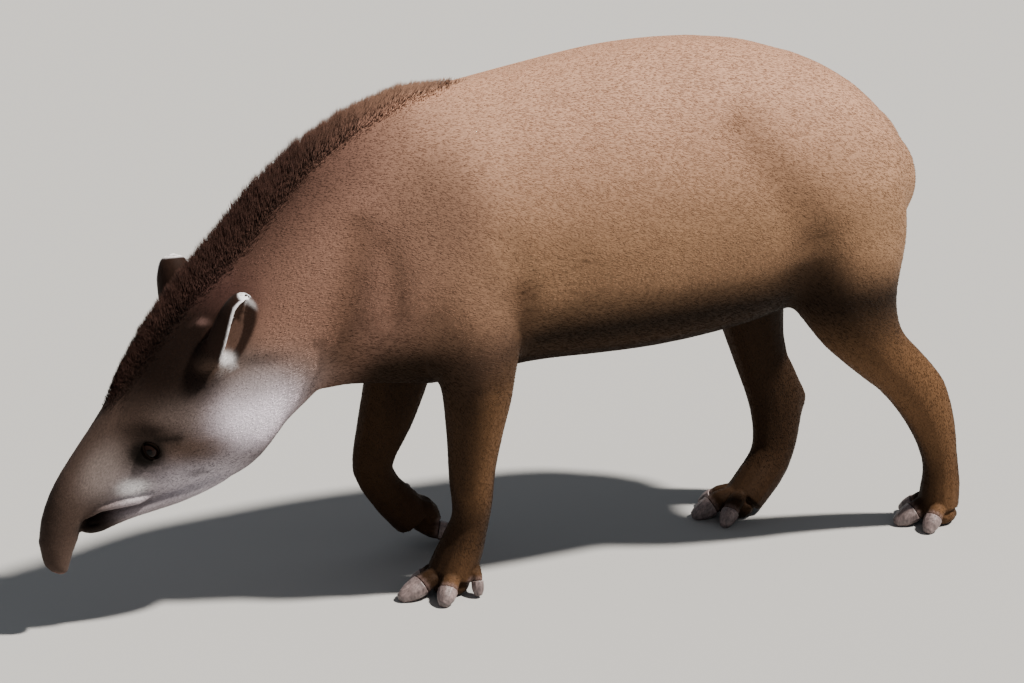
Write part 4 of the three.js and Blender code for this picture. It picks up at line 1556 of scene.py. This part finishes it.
@dataclass
class Mane:
    """The short, dense, velvety mane along the crest, of fine bristles that bend back.

    Their lengths are given at places from the withers, 0, to the brow, 1.
    """

    seed: int = 20
    count: int = 31_000
    places: tuple[float, ...] = (0.0, 0.13, 0.25, 0.5, 0.6, 0.7, 0.8, 0.9, 1.0)
    heights: tuple[float, ...] = (9, 22, 28, 30, 27, 23, 19, 12, 4)
    half: float = 0.6
    thick: float = 0.9
    sunk: float = 3.0
    # The bristles are darker at the root and twice as light at the tip: a painted highlight.
    shades: Spot = (0.7, 1.0, 2.0)

    def build(self, ground: Ground) -> bpy.types.Object:
        """Makes the mane, highest on the neck and along its middle row."""
        draw = np.random.default_rng(self.seed)
        height, place, _, _ = over_crest(ground.points)
        roots, _ = ground.scatter(draw, COAT.mane_share(ground.points, height, place), self.count)
        count = len(roots)
        _, place, outward, _ = over_crest(roots)
        back = np.stack([outward[:, 2], np.zeros(count), -outward[:, 0]], 1)
        middle = ramp(np.abs(roots[:, 1]), 40, 5)
        wave = 1 + 0.06 * np.sin(place * 190 + draw.normal(0, 0.6, count))
        length = np.interp(place, self.places, self.heights) * (0.16 + 0.84 * middle) * wave
        length = (length * draw.uniform(0.8, 1.25, count))[:, None]
        lean = draw.uniform(0.2, 0.7, count)[:, None]
        spread = (roots[:, 1] / 34 + draw.normal(0, 0.16, count))[:, None] * 0.55
        rise = unit(outward + back * lean + np.array([0, 1.0, 0]) * spread)
        # The mane at the withers starts from a darker copy of the painted shade on the shoulders.
        at_withers = np.array(COAT.colours.shoulder_painted_shade) * 0.6
        tint = mixed(at_withers, COAT.colours.mane, ramp(place, 0.04, COAT.MANE_DARK_FROM))
        tint = mixed(tint, COAT.colour(roots), ramp(np.abs(roots[:, 1]), 10, 34))
        tint = speckled(draw, tint, 0.2)
        finish = HairFinish(roughness=0.6).tufts("mane_hair")
        return Spindles(
            roots=roots - rise * self.sunk,
            middles=roots + rise * length * Spindles.MIDDLE_AT,
            tips=roots + rise * length + back * length * 0.22,
            outward=back,
            half=self.half * draw.uniform(0.7, 1.3, count),
            thick=self.thick,
            tints=tint,
        ).piece("mane_bristles", finish, self.shades, COAT.unwrap(roots, outward))


@dataclass
class Eye:
    """One eye: its ball with a bulging cornea, and the lids round it.

    Its side is -1 for the left. The cornea bulges within about a turn in radians of the gaze. The opening is
    an almond of half sizes long and high, tilted by some degrees.
    """

    # The lid's section: how far each corner lies outside the opening, and from the middle of the ball.
    LID_PROFILE = (
        (-1.6, 15.0), (-0.4, 17.0), (0.3, 18.2), (1.2, 19.2), (2.6, 19.7), (4.4, 19.5),
        (6.6, 18.8), (9.2, 17.6), (12.0, 15.8), (11.0, 12.5), (4.0, 11.5), (-1.0, 12.5),
    )
    # The corners that tuck against the ball are darker: painted shade where the lid meets the eye.
    LID_SHADES = (0.5, 0.6, 0.8)
    side: int
    radius: float = 16.3
    bulge: float = 0.5
    bulge_turn: float = 0.5
    rings: int = 24
    spokes: int = 40
    long: float = 15.5
    high: float = 9.5
    tilt: float = 50.0
    lid_steps: int = 72
    heavier_brow: float = 1.25

    @property
    def word(self) -> str:
        """Which eye it is."""
        return "left" if self.side < 0 else "right"

    @property
    def middle(self) -> Array:
        """The middle of the ball."""
        return LEFT_EYE * (1, -self.side, 1)

    @property
    def axes(self) -> tuple[Array, Array, Array]:
        """The directions along the opening, across it, and out of the head."""
        turn = math.radians(self.tilt)
        along = np.array([math.cos(turn), 0, -math.sin(turn)])
        across = np.array([math.sin(turn), 0, math.cos(turn)])
        return along, across, np.array([0.0, self.side, 0.0])

    def ball(self) -> bpy.types.Object:
        """Makes the eyeball, with the pupil turned a little forward."""
        rings, sides = self.rings, self.spokes
        gaze = unit(np.array([-0.28, self.side, 0.05]))
        flat = unit(np.cross(gaze, (0, 0, 1)))
        upward = np.cross(flat, gaze)
        points = [gaze * (self.radius + self.bulge)]
        reach = [0.0]
        for k in range(1, rings):
            angle = math.pi * k / rings
            bulge = self.bulge * math.exp(-((angle / self.bulge_turn) ** 2))
            for i in range(sides):
                turn = 2 * math.pi * i / sides
                round_way = flat * math.cos(turn) + upward * math.sin(turn)
                points.append((gaze * math.cos(angle) + round_way * math.sin(angle)) * (self.radius + bulge))
                reach.append(angle)
        points.append(-gaze * self.radius)
        reach.append(math.pi)
        faces = [(0, 1 + i, 1 + (i + 1) % sides) for i in range(sides)]
        for k in range(rings - 2):
            a, b = 1 + k * sides, 1 + (k + 1) * sides
            for i in range(sides):
                j = (i + 1) % sides
                faces += [(a + i, b + i, b + j), (a + i, b + j, a + j)]
        last = 1 + (rings - 2) * sides
        faces += [(last + i, len(points) - 1, last + (i + 1) % sides) for i in range(sides)]
        mesh = closed_mesh(f"eyeball_{self.word}", np.array(points) + self.middle, np.array(faces))
        keep_share(mesh, "from_pupil", np.array(reach))
        piece = put(f"eyeball_{self.word}", mesh, EyeFinish().material())
        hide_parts(f"eye_{self.word}")
        return piece

    def lids(self) -> bpy.types.Object:
        """Makes the rolled lids: a ring round the opening that sinks into the skin on its outer side."""
        along, across, out = self.axes
        steps = self.lid_steps
        rows = []
        for i in range(steps):
            turn = 2 * math.pi * i / steps
            pointed = 1 + 0.10 * abs(math.cos(turn)) ** 6
            u, v = self.long * math.cos(turn) * pointed, self.high * math.sin(turn)
            step_out = np.array([math.cos(turn) / self.long, math.sin(turn) / self.high])
            step_out /= np.linalg.norm(step_out)
            brow = self.heavier_brow if math.sin(turn) > 0 else 1.0
            ring = []
            for spread, reach in self.LID_PROFILE:
                a, b = u + step_out[0] * spread * brow, v + step_out[1] * spread * brow
                flat = math.hypot(a, b)
                depth = math.sqrt(max(reach**2 - flat**2, 0)) if flat < reach else -(flat - reach) * 0.55
                ring.append(self.middle + along * a + across * b + out * depth)
            rows.append(ring)
        sides = len(self.LID_PROFILE)
        points = np.array(rows).reshape(-1, 3)
        faces = []
        for i in range(steps):
            for k in range(sides):
                a, b = i * sides, ((i + 1) % steps) * sides
                faces.append((a + k, b + k, b + (k + 1) % sides, a + (k + 1) % sides))
        mesh = closed_mesh(f"eyelids_{self.word}", points, np.array(faces))
        shades = np.ones(sides)
        shades[: len(self.LID_SHADES)] = self.LID_SHADES
        dark = np.tile(np.array(COAT.colours.dark_skin_and_shade) * 0.7, (len(points), 1))
        paint(mesh, dark * np.tile(shades[:, None], (steps, 1)))
        keep_share(mesh, "leg_share", np.zeros(len(points)))
        keep_share(mesh, "head_share", np.ones(len(points)))
        piece = put(f"eyelids_{self.word}", mesh, HairFinish(roughness=0.6, specular=0.0, sheen=0.0).skin())
        return piece


def closed_mesh(name: str, points: Array, faces: Array) -> bpy.types.Mesh:
    """Makes a small closed mesh with its faces turned out."""
    mesh = mesh_of(name, BODY.out(points), faces)
    shape = bmesh.new()
    shape.from_mesh(mesh)
    bmesh.ops.recalc_face_normals(shape, faces=shape.faces)
    shape.to_mesh(mesh)
    shape.free()
    return mesh


@dataclass
class Hooves:
    """The fourteen hooves, smoothed from the solids."""

    voxel: float = 0.0013
    rounds: int = 8
    finish: HornFinish = HornFinish()

    def build(self) -> None:
        """Makes each hoof in place of its solid."""
        material = self.finish.material()
        for name in HOOF_NAMES:
            self.hoof(name, material)

    def hoof(self, label: str, material: bpy.types.Material) -> None:
        """Makes one hoof."""
        made = remeshed(mesh_from("hoof", merged_copy(f"hoof_{label}")), self.voxel)
        points = points_of(made)
        points = smoothed(points, edges_of(made), np.ones(len(points)), self.rounds)
        points[:, 2] = np.maximum(points[:, 2], 0.0)
        move_to(made, points)
        shade_smooth(made)
        made.name = f"nail_{label}"
        piece = put(f"nail_{label}", made, material)
        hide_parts(f"hoof_{label}")


@dataclass
class Studio:
    """A pale floor, light from high behind the near side, and the camera at the photograph's angle."""

    floor_half: float = 30.0
    floor_colour: Spot = (0.43, 0.425, 0.415)
    key_power: float = 8.4
    key_spread: float = 4.0
    key_colour: Spot = (1.0, 0.95, 0.88)
    surround_power: float = 0.24
    surround_colour: Spot = (0.86, 0.92, 1.0)
    yaw: float = -21.5
    height: float = 19.0
    distance: float = 7.0
    lens: float = 133.6
    target: Spot = (0.0, 0.0, 446.0)
    sun_from: Spot = (0.46, -0.30, 0.84)

    def build(self) -> None:
        """Makes the stage."""
        self.floor()
        self.lights()
        self.camera()

    def floor(self) -> None:
        """Makes the floor, which isn't part of the animal."""
        half = self.floor_half
        corners = np.array([(-half, -half, 0), (half, -half, 0), (half, half, 0), (-half, half, 0)])
        mesh = mesh_of("floor", corners, np.array([(0, 1, 2, 3)]), smooth=False)
        board = Board("floor_matt")
        board.set(Base_Color=(*self.floor_colour, 1), Roughness=0.9)
        mesh.materials.append(board.material)
        floor = placed("floor", mesh)

    def lights(self) -> None:
        """Makes a key light with softened shadows and an even pale surround."""
        key = bpy.data.lights.new("key", "SUN")
        key.energy = self.key_power
        key.angle = math.radians(self.key_spread)
        key.color = self.key_colour
        holder = placed("key", key)
        holder.rotation_mode = "QUATERNION"
        holder.rotation_quaternion = Vector(self.sun_from).to_track_quat("Z", "Y")
        world = bpy.data.worlds.new("surround")
        world.use_nodes = True
        background = world.node_tree.nodes["Background"]
        background.inputs["Color"].default_value = (*self.surround_colour, 1)
        background.inputs["Strength"].default_value = self.surround_power
        bpy.context.scene.world = world

    def camera(self) -> None:
        """Makes the camera."""
        turn, tilt = math.radians(self.yaw), math.radians(self.height)
        back = Vector((math.sin(turn) * math.cos(tilt), -math.cos(turn) * math.cos(tilt), math.sin(tilt)))
        lens = bpy.data.cameras.new("camera")
        lens.lens = self.lens
        lens.sensor_width = 36.0
        lens.clip_end = 100
        camera = placed("camera", lens)
        camera.location = Vector(BODY.out(self.target)) + back * self.distance
        camera.rotation_mode = "QUATERNION"
        camera.rotation_quaternion = back.to_track_quat("Z", "Y")
        bpy.context.scene.camera = camera


def main() -> None:
    """Builds the animal and its stage."""
    logging.basicConfig(level=logging.INFO, format="%(name)s: %(message)s")
    Studio().build()
    skin = Skin().build()
    ground = Ground.of(skin)
    ShortCoat().build(ground)
    Mane().build(ground)
    for side in SIDES:
        eye = Eye(side)
        eye.ball()
        eye.lids()
    Hooves().build()


if __name__ == "__main__":
    main()
